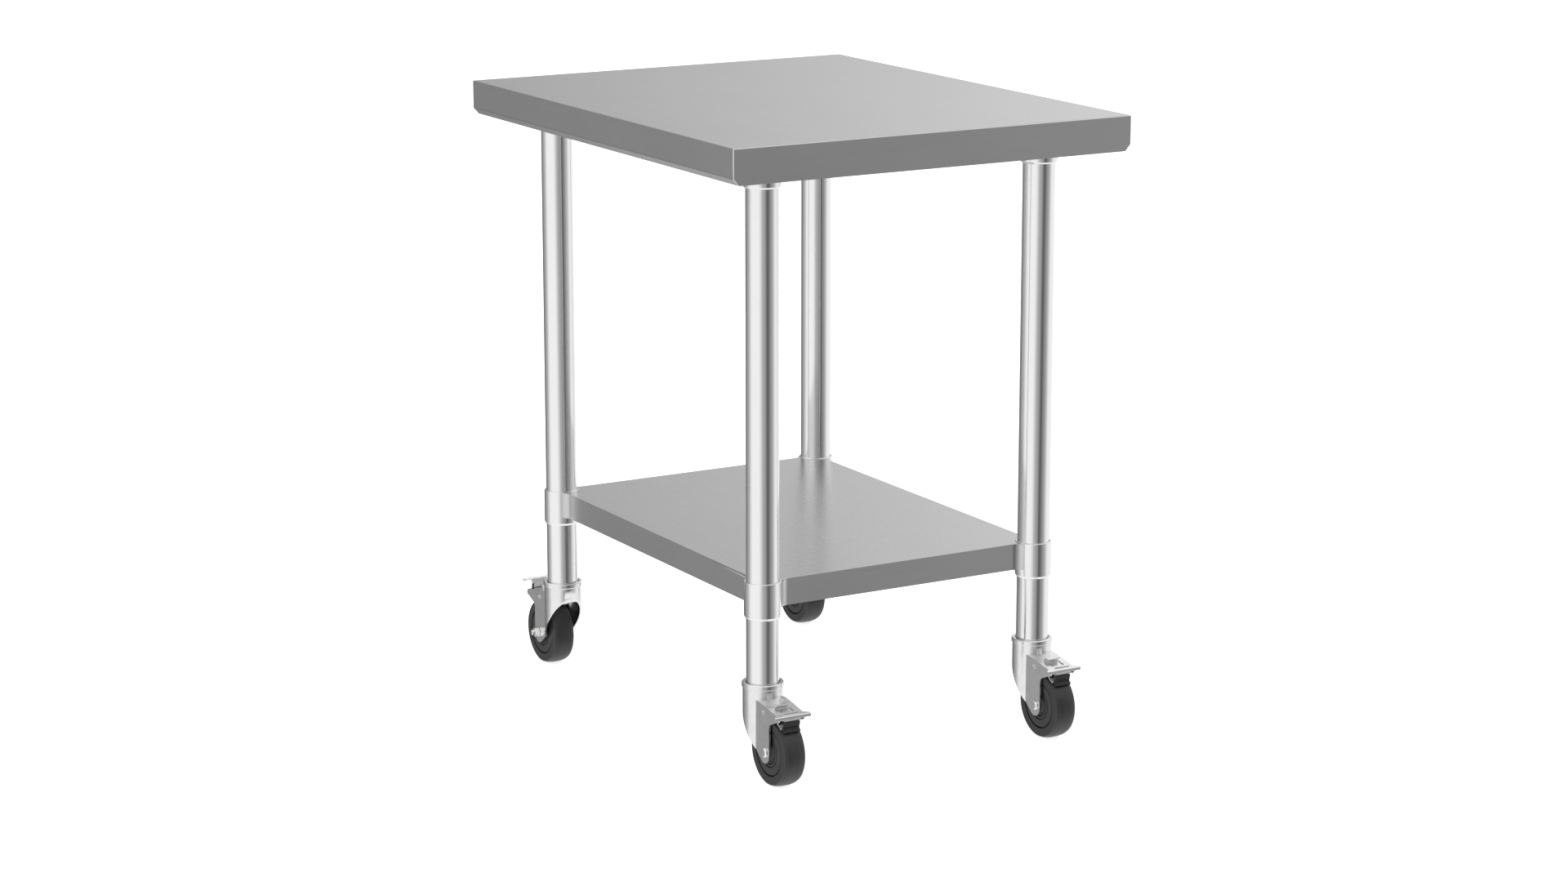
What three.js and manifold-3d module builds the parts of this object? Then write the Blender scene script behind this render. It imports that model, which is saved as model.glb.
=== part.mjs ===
// Stainless work table on four braked swivel casters.
// Millimetres, +Z up, origin on the floor under the middle of the table.
// X runs along the length of the top, Y along its depth, and the front is -Y.

import * as THREE from 'three';
import { mergeVertices } from 'three/addons/utils/BufferGeometryUtils.js';
import Module from 'manifold-3d';

const wasm = await Module();
wasm.setup();

// ---- driving dimensions ----

// worktop
const TOP_LENGTH = 762;
const TOP_DEPTH = 609.6;
const TOP_HEIGHT = 863.6;
const SKIRT_HEIGHT = 48.2;
const TOP_SHEET = 1.2;
const TOP_EDGE_RADIUS = 2;
const BEVEL_IN = 8;
const BEVEL_UP = 9;

// stiffening channels across the underside of the worktop
const CHANNEL_CROWN = 64;
const CHANNEL_FLANGE = 16;
const CHANNEL_DROP = 20;
const CHANNEL_SHEET = 1.5;
const CHANNEL_END_GAP = 14;

// legs and where they stand
const LEG_OD = 44.45;
const LEG_WALL = 1.5;
const LEG_INSET_X = 85.3;
const LEG_INSET_Y = 90.2;

// sockets that hold the tops of the legs
const SOCKET_WALL = 2.875;
const SOCKET_BELOW_SKIRT = 19;
const SOCKET_PLATE = 78;
const SOCKET_PLATE_SHEET = 2.5;
const SOCKET_LIP_ROUND = 3;

// undershelf and its corner collars
const SHELF_TOP = 269.5;
const SHELF_SKIRT = 36.5;
const SHELF_SHEET = 1.2;
const SHELF_PAST_LEG_AXIS = 3;
const SHELF_EDGE_RADIUS = 3;
const SHELF_HEM = 14;
const COLLAR_WALL = 2.375;
const COLLAR_PROUD = 1;
const COLLAR_BELOW_SKIRT = 12.5;
const COLLAR_TAPER = 3;
const COLLAR_RIM = 0.8;

// grub screws in the sockets and the collars
const SCREW_DIAMETER = 8;
const SCREW_HEAD_DIAMETER = 13;
const SCREW_HEAD_LENGTH = 5;
const SCREW_ABOVE_SOCKET_LIP = 14;

// caster wheel
const WHEEL_DIAMETER = 95;
const TYRE_WIDTH = 31.6;
const TYRE_SHOULDER = 4.5;
const TREAD_CROWN = 1;
const TYRE_BORE = 67;
const HUB_WIDTH = 34.4;
const HUB_BOSS_DIAMETER = 26;
const HUB_WEB_WIDTH = 22;
const HUB_RIM_THICKNESS = 5;
const TRAIL = 41.5;

// caster fork: a sleeve around the foot of the leg, two cheeks and a top plate
const SLEEVE_GAP = 2.275;
const SLEEVE_WALL = 2.5;
const SLEEVE_ABOVE_FLOOR = 25.5;
const SLEEVE_RING_PROUD = 1.3;
const SLEEVE_RING_HEIGHT = 7;
const SLEEVE_RING_CHAMFER = [1.2, 2];
const FORK_ABOVE_TYRE = 9;
const FORK_FLOOR_THICKNESS = 3.5;
const CHEEK_SHEET = 2.5;
const PLATE_RISE_TO_DIAMETER = 0.1;
const PLATE_FALL_TO_AXLE = 2.2;
const PLATE_DROP = 5.5;
const PLATE_REACH_TO_RADIUS = 0.663;
const NOSE_RADIUS = 4.5;
const THROAT_BELOW_TYRE_TOP = 10.5;
const THROAT_CHAMFER = [3, 4.5];
const ARCH_ABOVE_TYRE = 17.4;
const ARCH_FOOT_BEHIND_LUG = 22.5;
const ARCH_FOOT_BELOW_AXLE = 1;
const LUG_RADIUS = 12.5;
const LUG_BACK = 2;
const LUG_DOWN = 3;
const LUG_REAR_ANGLE = 215;
const LUG_TANGENT_ANGLE = 231;
const WINDOW_WIDTH = 21;
const WINDOW_LENGTH = 15;
const WINDOW_PAST_AXLE = 9;
const TAB_SHEET = 1.6;
const TAB_RISE = 4;
const TAB_ROOT = [4, 1];
const TAB_LENGTH = 5;
const TAB_FALL = 0.6;

// caster stem in the foot of the leg
const STEM_PLUG_LENGTH = 46;
const LEG_FOOT_ABOVE_FLOOR_PLATE = 12.5;
const STEM_FLANGE = 4.5;
const RACE_DIAMETER = 36;
const KINGPIN_DIAMETER = 12;
const KINGPIN_HEAD_DIAMETER = 19;
const KINGPIN_HEAD_HEIGHT = 5.5;
const STEM_PLUG_CHAMFER = 2;

// axle bolt, nut and brake pivot
const AXLE_DIAMETER = 8;
const AXLE_HEAD_DIAMETER = 13;
const AXLE_HEAD_HEIGHT = 3;
const AXLE_HEAD_CHAMFER = [1.5, 1.8];
const AXLE_SLOT_WIDTH = 1.6;
const AXLE_SLOT_DEPTH = 1;
const NUT_FLATS = 13;
const NUT_HEIGHT = 6.5;
const AXLE_PAST_NUT = 4.5;
const PIVOT_DIAMETER = 5.5;
const PIVOT_HEAD_DIAMETER = 7;
const PIVOT_HEAD_HEIGHT = 0.8;
const PIVOT_BACK = 4.5;
const PIVOT_ABOVE_TYRE = 7;

// brake pedal and shoe
const PEDAL_WIDTH = 54;
const PEDAL_ARM_WIDTH = 28;
const PEDAL_SHEET = 2;
const PEDAL_BOSS_RADIUS = 5.6;
const PEDAL_BAR_LENGTH = 7;
const PEDAL_BAR_TAPER = [4.5, 6.5];
const PEDAL_BAR_RISE = 1.2;
const PEDAL_BAR_FALL = 0.6;
const PEDAL_LIP_DROP = 6;
const PEDAL_LIP_CORNER = [2, 3];
const PEDAL_ARM_FROM = 51;
const PEDAL_ARM_TO = 96;
const PEDAL_NECK_FROM = -23;
const PEDAL_NECK_TO = 9;
const SHOE_WIDTH = 24;
const SHOE_THICKNESS = 4.2;
const SHOE_FROM = 43;
const SHOE_TO = 50.6;
const PEDAL_TRAVEL = 22;

// clearances
const FIT = 0.3;
const TUBE_FIT = 0.4;
const WHEEL_FIT = 0.8;
const TREAD_CLEARANCE = 0.5;
const PEDAL_CLEARANCE = 1;

// facets round each kind of circle
const TUBE_FACETS = 24;
const WHEEL_FACETS = 24;
const SMALL_FACETS = 12;
const STEM_FACETS = 16;
const BAND_STEP = 5;

// ---- sizes that follow from them ----

const LEG_RADIUS = LEG_OD / 2;
const LEG_BORE = LEG_RADIUS - LEG_WALL;
const LEG_X = TOP_LENGTH / 2 - LEG_INSET_X;
const LEG_Y = TOP_DEPTH / 2 - LEG_INSET_Y;
const SKIRT_BOTTOM = TOP_HEIGHT - SKIRT_HEIGHT;
const CHANNEL_TOP = TOP_HEIGHT - TOP_SHEET - FIT;
const CHANNEL_BOTTOM = CHANNEL_TOP - CHANNEL_DROP;
const SOCKET_OD = LEG_OD + 2 * (TUBE_FIT + SOCKET_WALL);
const COLLAR_OD = LEG_OD + 2 * (TUBE_FIT + COLLAR_WALL);
const SOCKET_TOP = CHANNEL_BOTTOM - FIT;
const SOCKET_LIP = SKIRT_BOTTOM - SOCKET_BELOW_SKIRT;
const LEG_TOP = SOCKET_TOP - SOCKET_PLATE_SHEET - FIT;
const FORK_FLOOR = WHEEL_DIAMETER + FORK_ABOVE_TYRE;
const FLOOR_TOP = FORK_FLOOR + FORK_FLOOR_THICKNESS;
const LEG_FOOT = FLOOR_TOP + LEG_FOOT_ABOVE_FLOOR_PLATE;
const SHELF_HALF_X = LEG_X + SHELF_PAST_LEG_AXIS;
const SHELF_HALF_Y = LEG_Y + SHELF_PAST_LEG_AXIS;
const SHELF_BOTTOM = SHELF_TOP - SHELF_SKIRT;
const COLLAR_TOP = SHELF_TOP + COLLAR_PROUD;
const COLLAR_BOTTOM = SHELF_BOTTOM - COLLAR_BELOW_SKIRT;
const SOCKET_SCREW_HEIGHT = SOCKET_LIP + SCREW_ABOVE_SOCKET_LIP;
const COLLAR_SCREW_HEIGHT = SHELF_BOTTOM + SHELF_SKIRT / 2;
const WHEEL_RADIUS = WHEEL_DIAMETER / 2;
const SLEEVE_BORE = LEG_RADIUS + SLEEVE_GAP;
const SLEEVE_RADIUS = SLEEVE_BORE + SLEEVE_WALL;
const SLEEVE_TOP = FLOOR_TOP + SLEEVE_ABOVE_FLOOR;
const CHEEK_INNER = HUB_WIDTH / 2 + WHEEL_FIT;
const CHEEK_OUTER = CHEEK_INNER + CHEEK_SHEET;
const FAR = 400;

// ---- materials ----

const brushed = new THREE.MeshStandardMaterial({ color: 0xb4b6b7, roughness: 0.42, metalness: 1 });
const polished = new THREE.MeshStandardMaterial({ color: 0xd2d3d3, roughness: 0.22, metalness: 1 });
const galvanised = new THREE.MeshStandardMaterial({ color: 0x9da2a4, roughness: 0.5, metalness: 1 });
const zinc = new THREE.MeshStandardMaterial({ color: 0xc3c4c2, roughness: 0.3, metalness: 1 });
const tyreRubber = new THREE.MeshStandardMaterial({ color: 0x3c3d3f, roughness: 0.6, metalness: 0 });
const hubPlastic = new THREE.MeshStandardMaterial({ color: 0x474849, roughness: 0.5, metalness: 0 });
const shoeRubber = new THREE.MeshStandardMaterial({ color: 0x18191a, roughness: 0.55, metalness: 0 });

// ---- solids ----

function solidOf(geometry) {
  geometry.deleteAttribute('normal');
  geometry.deleteAttribute('uv');
  const merged = mergeVertices(geometry, 1e-5);
  return new wasm.Manifold(new wasm.Mesh({
    numProp: 3,
    vertProperties: new Float32Array(merged.attributes.position.array),
    triVerts: new Uint32Array(merged.index.array),
  }));
}

function meshOf(name, solid, material) {
  const { vertProperties, triVerts } = solid.getMesh();
  const geometry = new THREE.BufferGeometry();
  geometry.setAttribute('position', new THREE.BufferAttribute(vertProperties, 3));
  geometry.setIndex(new THREE.BufferAttribute(triVerts, 1));
  const mesh = new THREE.Mesh(geometry, material);
  mesh.name = name;
  return mesh;
}

// a solid turned about Z from [radius, height] points that run up its outside
function turned(points, facets = TUBE_FACETS) {
  const outline = points.map(([radius, height]) => new THREE.Vector2(radius, height));
  const geometry = new THREE.LatheGeometry(outline, facets);
  geometry.rotateX(Math.PI / 2);
  return solidOf(geometry);
}

function cylinder(radius, bottom, top, facets = TUBE_FACETS) {
  return turned([[0, bottom], [radius, bottom], [radius, top], [0, top]], facets);
}

function ring(outer, bore, bottom, top, facets = TUBE_FACETS) {
  return turned([[bore, bottom], [outer, bottom], [outer, top], [bore, top], [bore, bottom]], facets);
}

// the same solids lying along Y
function turnedAcross(points, facets = WHEEL_FACETS) {
  const outline = points.map(([radius, across]) => new THREE.Vector2(radius, across));
  return solidOf(new THREE.LatheGeometry(outline, facets));
}

function rod(radius, from, to, x, z, facets = SMALL_FACETS) {
  const solid = turnedAcross([[0, from], [radius, from], [radius, to], [0, to]], facets);
  return solid.translate([x, 0, z]);
}

function outlineOf(points) {
  return new THREE.Shape(points.map(([a, b]) => new THREE.Vector2(a, b)));
}

// an outline in X and Z carried across Y from -half to +half
function across(shape, half) {
  const geometry = new THREE.ExtrudeGeometry(shape, { depth: 2 * half, bevelEnabled: false });
  geometry.rotateX(Math.PI / 2);
  geometry.translate(0, half, 0);
  return solidOf(geometry);
}

// an outline in Y and Z carried along X from -half to +half
function along(shape, half) {
  const geometry = new THREE.ExtrudeGeometry(shape, { depth: 2 * half, bevelEnabled: false });
  geometry.rotateX(Math.PI / 2);
  geometry.rotateZ(Math.PI / 2);
  geometry.translate(-half, 0, 0);
  return solidOf(geometry);
}

function box(lengthX, depthY, bottom, top) {
  const geometry = new THREE.BoxGeometry(lengthX, depthY, top - bottom);
  geometry.translate(0, 0, (bottom + top) / 2);
  return solidOf(geometry);
}

const rad = THREE.MathUtils.degToRad;

// points on an arc, from one angle to another in degrees
function arc(centreA, centreB, radius, from, to, steps) {
  const points = [];
  for (let i = 0; i <= steps; i += 1) {
    const angle = rad(from + ((to - from) * i) / steps);
    points.push([centreA + radius * Math.cos(angle), centreB + radius * Math.sin(angle)]);
  }
  return points;
}

const corners = [
  { name: 'front_left', x: -1, y: -1, released: true },
  { name: 'front_right', x: 1, y: -1, released: false },
  { name: 'rear_left', x: -1, y: 1, released: false },
  { name: 'rear_right', x: 1, y: 1, released: false },
];

function atCorner(solid, corner) {
  return solid.translate([corner.x * LEG_X, corner.y * LEG_Y, 0]);
}

// turns what lies along -X so that it points from the leg to the middle of the table
function facingIn(solid, corner) {
  return solid.rotate([0, 0, THREE.MathUtils.radToDeg(Math.atan2(corner.y, corner.x))]);
}

// ---- worktop ----

// half of the worktop's section across its depth, grown inwards by a wall
function worktopOutline(wall) {
  const half = TOP_DEPTH / 2 - wall;
  const top = TOP_HEIGHT - wall;
  const round = TOP_EDGE_RADIUS - wall;
  const knee = SKIRT_BOTTOM + BEVEL_UP + wall * Math.tan(Math.atan2(BEVEL_IN, BEVEL_UP) / 2);
  const open = wall > 0 ? BEVEL_UP : 0;
  const lip = half - (knee - (SKIRT_BOTTOM - open)) * (BEVEL_IN / BEVEL_UP);
  const points = [
    [lip, SKIRT_BOTTOM - open],
    [half, knee],
    ...arc(half - round, top - round, round, 0, 90, 3),
  ];
  const mirrored = points.map(([y, z]) => [-y, z]).reverse();
  return outlineOf([...points, ...mirrored]);
}

function worktop() {
  const outer = along(worktopOutline(0), TOP_LENGTH / 2);
  const inner = along(worktopOutline(TOP_SHEET), TOP_LENGTH / 2 - TOP_SHEET);
  return outer.subtract(inner);
}

// ---- stiffening channel: a hat section that lies across the worktop ----

function channel(x) {
  const crown = CHANNEL_CROWN / 2;
  const brim = crown + CHANNEL_FLANGE;
  const t = CHANNEL_SHEET;
  const outline = outlineOf([
    [-brim, CHANNEL_TOP], [-brim, CHANNEL_TOP - t], [-crown, CHANNEL_TOP - t],
    [-crown, CHANNEL_BOTTOM], [crown, CHANNEL_BOTTOM], [crown, CHANNEL_TOP - t],
    [brim, CHANNEL_TOP - t], [brim, CHANNEL_TOP], [crown - t, CHANNEL_TOP],
    [crown - t, CHANNEL_BOTTOM + t], [t - crown, CHANNEL_BOTTOM + t], [t - crown, CHANNEL_TOP],
  ]);
  return across(outline, TOP_DEPTH / 2 - CHANNEL_END_GAP).translate([x, 0, 0]);
}

// ---- leg, its socket and the grub screws ----

function leg() {
  return ring(LEG_RADIUS, LEG_BORE, LEG_FOOT, LEG_TOP);
}

function screwHole(height, corner) {
  const hole = cylinder(SCREW_DIAMETER / 2 + FIT, 0, FAR / 10, SMALL_FACETS);
  return facingIn(hole.rotate([0, -90, 0]).translate([0, 0, height]), corner);
}

function socket(corner) {
  const outer = SOCKET_OD / 2;
  const bore = LEG_RADIUS + TUBE_FIT;
  const plateBottom = SOCKET_TOP - SOCKET_PLATE_SHEET;
  const sleeve = turned([
    [bore, SOCKET_LIP],
    ...arc(outer - SOCKET_LIP_ROUND, SOCKET_LIP + SOCKET_LIP_ROUND, SOCKET_LIP_ROUND, -90, 0, 3),
    [outer, plateBottom + 1],
    [bore, plateBottom + 1],
    [bore, SOCKET_LIP],
  ]);
  const plate = box(SOCKET_PLATE, SOCKET_PLATE, plateBottom, SOCKET_TOP);
  return sleeve.subtract(screwHole(SOCKET_SCREW_HEIGHT, corner)).add(plate);
}

// a screw that presses on the leg from inside the table
function grubScrew(outer, height, corner) {
  const tip = LEG_RADIUS + FIT;
  const head = outer + FIT;
  const screw = turned([
    [0, tip], [SCREW_DIAMETER / 2, tip], [SCREW_DIAMETER / 2, head],
    [SCREW_HEAD_DIAMETER / 2, head], [SCREW_HEAD_DIAMETER / 2, head + SCREW_HEAD_LENGTH],
    [0, head + SCREW_HEAD_LENGTH],
  ], SMALL_FACETS);
  return facingIn(screw.rotate([0, -90, 0]).translate([0, 0, height]), corner);
}

// ---- undershelf ----

function shelfOutline(wall) {
  const half = SHELF_HALF_Y - wall;
  const top = SHELF_TOP - wall;
  const round = SHELF_EDGE_RADIUS - wall;
  const open = wall > 0 ? -wall : 0;
  const bottom = SHELF_BOTTOM - open;
  const points = [[half, bottom], ...arc(half - round, top - round, round, 0, 90, 3)];
  return outlineOf([...points, ...points.map(([y, z]) => [-y, z]).reverse()]);
}

function undershelf() {
  let shelf = along(shelfOutline(0), SHELF_HALF_X);
  shelf = shelf.subtract(along(shelfOutline(SHELF_SHEET), SHELF_HALF_X - SHELF_SHEET));
  const mouthX = 2 * (SHELF_HALF_X - SHELF_HEM);
  const mouthY = 2 * (SHELF_HALF_Y - SHELF_HEM);
  shelf = shelf.subtract(box(mouthX, mouthY, SHELF_BOTTOM - 1, SHELF_BOTTOM + 2 * SHELF_SHEET));
  const notch = cylinder(COLLAR_OD / 2 + FIT, COLLAR_BOTTOM, COLLAR_TOP + 1);
  for (const corner of corners) shelf = shelf.subtract(atCorner(notch, corner));
  return shelf;
}

function collar(corner) {
  const outer = COLLAR_OD / 2;
  const bore = LEG_RADIUS + TUBE_FIT;
  const body = turned([
    [bore, COLLAR_BOTTOM],
    [outer - COLLAR_TAPER / 2, COLLAR_BOTTOM],
    [outer, COLLAR_BOTTOM + COLLAR_TAPER],
    [outer, COLLAR_TOP - COLLAR_RIM],
    [outer - COLLAR_RIM, COLLAR_TOP],
    [bore, COLLAR_TOP],
    [bore, COLLAR_BOTTOM],
  ]);
  return body.subtract(screwHole(COLLAR_SCREW_HEIGHT, corner));
}

// ---- caster: its own frame has the leg axis at x = 0 and trails towards +X ----

// the outline of a cheek and of the top plate that joins the two
const PLATE_REAR = [0, FORK_FLOOR + WHEEL_DIAMETER * PLATE_RISE_TO_DIAMETER];
const PLATE_BEND = [TRAIL, PLATE_REAR[1] - PLATE_FALL_TO_AXLE];
const PLATE_FRONT = [TRAIL + WHEEL_RADIUS * PLATE_REACH_TO_RADIUS, PLATE_BEND[1] - PLATE_DROP];
const PIVOT = [TRAIL - PIVOT_BACK, WHEEL_DIAMETER + PIVOT_ABOVE_TYRE];
const LUG = [TRAIL - LUG_BACK, WHEEL_RADIUS - LUG_DOWN];

function cheekOutline() {
  const noseX = PLATE_FRONT[0];
  const noseZ = PLATE_FRONT[1] - NOSE_RADIUS - PEDAL_CLEARANCE;
  const throatX = LUG[0] + LUG_RADIUS;
  const throatZ = WHEEL_DIAMETER - THROAT_BELOW_TYRE_TOP;
  return outlineOf([
    [PLATE_REAR[0], LUG[1]],
    ...arc(...LUG, LUG_RADIUS, LUG_REAR_ANGLE, 360, 8),
    [throatX, throatZ],
    [throatX + THROAT_CHAMFER[0], throatZ + THROAT_CHAMFER[1]],
    ...arc(noseX, noseZ, NOSE_RADIUS, -60, 75, 4),
    PLATE_FRONT,
    PLATE_BEND,
    [SLEEVE_RADIUS, PLATE_REAR[1]],
    PLATE_REAR,
  ]);
}

// what is cut away behind the wheel, below the arch
function archOutline() {
  const [[tangentX, tangentZ]] = arc(...LUG, LUG_RADIUS, LUG_TANGENT_ANGLE, 360, 1);
  const top = WHEEL_DIAMETER + ARCH_ABOVE_TYRE;
  return outlineOf([
    [-SLEEVE_RADIUS - 1, top],
    [LUG[0] - ARCH_FOOT_BEHIND_LUG, WHEEL_RADIUS - ARCH_FOOT_BELOW_AXLE],
    [tangentX, tangentZ],
    [tangentX, -FAR],
    [-FAR, -FAR],
    [-FAR, top],
  ]);
}

function fork() {
  const lip = SLEEVE_RADIUS + SLEEVE_RING_PROUD;
  const ringBottom = SLEEVE_TOP - SLEEVE_RING_HEIGHT;
  const [chamferIn, chamferDown] = SLEEVE_RING_CHAMFER;
  const sleeve = turned([
    [0, 0],
    [SLEEVE_RADIUS, 0],
    [SLEEVE_RADIUS, ringBottom - SLEEVE_RING_PROUD],
    [lip, ringBottom],
    [lip, SLEEVE_TOP - chamferDown],
    [lip - chamferIn, SLEEVE_TOP],
    [0, SLEEVE_TOP],
  ]);
  const wellOutline = outlineOf([
    [0, 0], [FAR, 0], [FAR, FAR], [PLATE_FRONT[0], FAR],
    [PLATE_FRONT[0], PLATE_FRONT[1] - CHEEK_SHEET],
    [PLATE_BEND[0], PLATE_BEND[1] - CHEEK_SHEET],
    [SLEEVE_RADIUS, PLATE_REAR[1] - CHEEK_SHEET],
    [SLEEVE_RADIUS, FORK_FLOOR], [0, FORK_FLOOR],
  ]);
  const windowFrom = TRAIL + WINDOW_PAST_AXLE;
  const windowTo = windowFrom + WINDOW_LENGTH;
  const window = across(outlineOf([
    [windowFrom, PLATE_FRONT[1] - CHEEK_SHEET - 1], [windowTo, PLATE_FRONT[1] - CHEEK_SHEET - 1],
    [windowTo, PLATE_BEND[1] + 1], [windowFrom, PLATE_BEND[1] + 1],
  ]), WINDOW_WIDTH / 2);
  const tabTop = PLATE_BEND[1] + TAB_RISE;
  const tabTip = windowFrom + TAB_LENGTH;
  const tabFoot = PLATE_BEND[1] - CHEEK_SHEET / 2;
  const tab = across(outlineOf([
    [windowFrom - TAB_ROOT[0], tabFoot], [windowFrom - TAB_ROOT[1], tabFoot],
    [windowFrom, tabTop - TAB_SHEET], [tabTip, tabTop - TAB_SHEET - TAB_FALL],
    [tabTip, tabTop - TAB_FALL], [windowFrom - TAB_SHEET, tabTop],
  ]), WINDOW_WIDTH / 2 - FIT);
  return sleeve
    .add(across(cheekOutline(), CHEEK_OUTER))
    .subtract(cylinder(SLEEVE_BORE, 0, FORK_FLOOR))
    .subtract(cylinder(SLEEVE_BORE, FLOOR_TOP, SLEEVE_TOP + 1))
    .subtract(across(wellOutline, CHEEK_INNER))
    .subtract(across(archOutline(), FAR))
    .subtract(window)
    .add(tab)
    .subtract(cylinder(KINGPIN_DIAMETER / 2 + FIT, FORK_FLOOR - 1, FLOOR_TOP + 1, SMALL_FACETS))
    .subtract(rod(AXLE_DIAMETER / 2 + FIT, -FAR, FAR, TRAIL, WHEEL_RADIUS))
    .subtract(rod(PIVOT_DIAMETER / 2 + FIT, -FAR, FAR, ...PIVOT));
}

// a plug in the foot of the leg, a flange it stands on, the race and the kingpin
function stem() {
  const flangeTop = LEG_FOOT - FIT;
  const kingpin = KINGPIN_DIAMETER / 2;
  const head = FORK_FLOOR - TUBE_FIT;
  return turned([
    [0, head - KINGPIN_HEAD_HEIGHT],
    [KINGPIN_HEAD_DIAMETER / 2 - 1, head - KINGPIN_HEAD_HEIGHT],
    [KINGPIN_HEAD_DIAMETER / 2, head - KINGPIN_HEAD_HEIGHT + 1],
    [KINGPIN_HEAD_DIAMETER / 2, head],
    [kingpin, head],
    [kingpin, FLOOR_TOP + TUBE_FIT],
    [RACE_DIAMETER / 2, FLOOR_TOP + TUBE_FIT],
    [RACE_DIAMETER / 2, flangeTop - STEM_FLANGE],
    [LEG_RADIUS, flangeTop - STEM_FLANGE],
    [LEG_RADIUS, flangeTop],
    [LEG_BORE - TUBE_FIT, flangeTop],
    [LEG_BORE - TUBE_FIT, flangeTop + STEM_PLUG_LENGTH - STEM_PLUG_CHAMFER],
    [LEG_BORE - TUBE_FIT - STEM_PLUG_CHAMFER, flangeTop + STEM_PLUG_LENGTH],
    [0, flangeTop + STEM_PLUG_LENGTH],
  ], STEM_FACETS);
}

// the tread touches the floor along the middle of a facet
const flatDown = (radius) => radius / Math.cos(Math.PI / WHEEL_FACETS);

function onAxle(solid) {
  return solid.rotate([0, 180 / WHEEL_FACETS, 0]).translate([TRAIL, 0, WHEEL_RADIUS]);
}

function tyre() {
  const half = TYRE_WIDTH / 2;
  const bore = TYRE_BORE / 2;
  const tread = flatDown(WHEEL_RADIUS);
  const edge = tread - TREAD_CROWN;
  const shoulder = TYRE_SHOULDER;
  return onAxle(turnedAcross([
    [bore, -half],
    ...arc(edge - shoulder, shoulder - half, shoulder, -90, 0, 1),
    [tread, -half / 3],
    [tread, half / 3],
    ...arc(edge - shoulder, half - shoulder, shoulder, 0, 90, 1),
    [bore, half],
    [bore, -half],
  ]));
}

function hub() {
  const rim = TYRE_BORE / 2 - FIT;
  const boss = HUB_BOSS_DIAMETER / 2;
  const bore = AXLE_DIAMETER / 2 + TUBE_FIT;
  const half = HUB_WIDTH / 2;
  const web = HUB_WEB_WIDTH / 2;
  const rimHalf = TYRE_WIDTH / 2;
  return onAxle(turnedAcross([
    [bore, -half], [boss, -half], [boss, -web], [rim - HUB_RIM_THICKNESS, -web],
    [rim - HUB_RIM_THICKNESS, -rimHalf], [rim, -rimHalf],
    [rim, rimHalf], [rim - HUB_RIM_THICKNESS, rimHalf],
    [rim - HUB_RIM_THICKNESS, web], [boss, web], [boss, half], [bore, half], [bore, -half],
  ]));
}

const NUT_FROM = CHEEK_OUTER + FIT;
const NUT_TO = NUT_FROM + NUT_HEIGHT;

function axleBolt() {
  const head = -CHEEK_OUTER - FIT;
  const shaft = AXLE_DIAMETER / 2;
  const cap = AXLE_HEAD_DIAMETER / 2;
  const [chamferIn, chamferDown] = AXLE_HEAD_CHAMFER;
  const bolt = turnedAcross([
    [0, head - AXLE_HEAD_HEIGHT], [cap - chamferIn, head - AXLE_HEAD_HEIGHT],
    [cap, head - AXLE_HEAD_HEIGHT + chamferDown], [cap, head], [shaft, head],
    [shaft, NUT_TO + AXLE_PAST_NUT - 1], [shaft - 1, NUT_TO + AXLE_PAST_NUT],
    [0, NUT_TO + AXLE_PAST_NUT],
  ], SMALL_FACETS);
  const slot = box(AXLE_SLOT_WIDTH, 2 * AXLE_SLOT_DEPTH, -cap, cap);
  return bolt
    .subtract(slot.translate([0, head - AXLE_HEAD_HEIGHT, 0]))
    .translate([TRAIL, 0, WHEEL_RADIUS]);
}

function axleNut() {
  const corner = NUT_FLATS / Math.sqrt(3);
  const nut = turnedAcross([[0, NUT_FROM], [corner, NUT_FROM], [corner, NUT_TO], [0, NUT_TO]], 6);
  return nut.translate([TRAIL, 0, WHEEL_RADIUS])
    .subtract(rod(AXLE_DIAMETER / 2 + FIT, 0, FAR, TRAIL, WHEEL_RADIUS));
}

function pivotPin() {
  const head = CHEEK_OUTER + FIT;
  const end = head + PIVOT_HEAD_HEIGHT;
  const shaft = PIVOT_DIAMETER / 2;
  const cap = PIVOT_HEAD_DIAMETER / 2;
  return turnedAcross([
    [0, -end], [cap, -end], [cap, -head], [shaft, -head],
    [shaft, head], [cap, head], [cap, end], [0, end],
  ], SMALL_FACETS).translate([PIVOT[0], 0, PIVOT[1]]);
}

// a band between two radii about a centre, from one angle to another
function band([x, z], inner, outer, from, to, half) {
  const steps = Math.round((to - from) / BAND_STEP);
  return across(outlineOf([
    ...arc(x, z, outer, from, to, steps),
    ...arc(x, z, inner, to, from, steps),
  ]), half);
}

const WHEEL_CENTRE = [TRAIL, WHEEL_RADIUS];
const BRAKE_INNER = flatDown(WHEEL_RADIUS) + TREAD_CLEARANCE;
const ARM_OUTER = BRAKE_INNER + PEDAL_SHEET;
const SHOE_OUTER = BRAKE_INNER + SHOE_THICKNESS;

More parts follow.
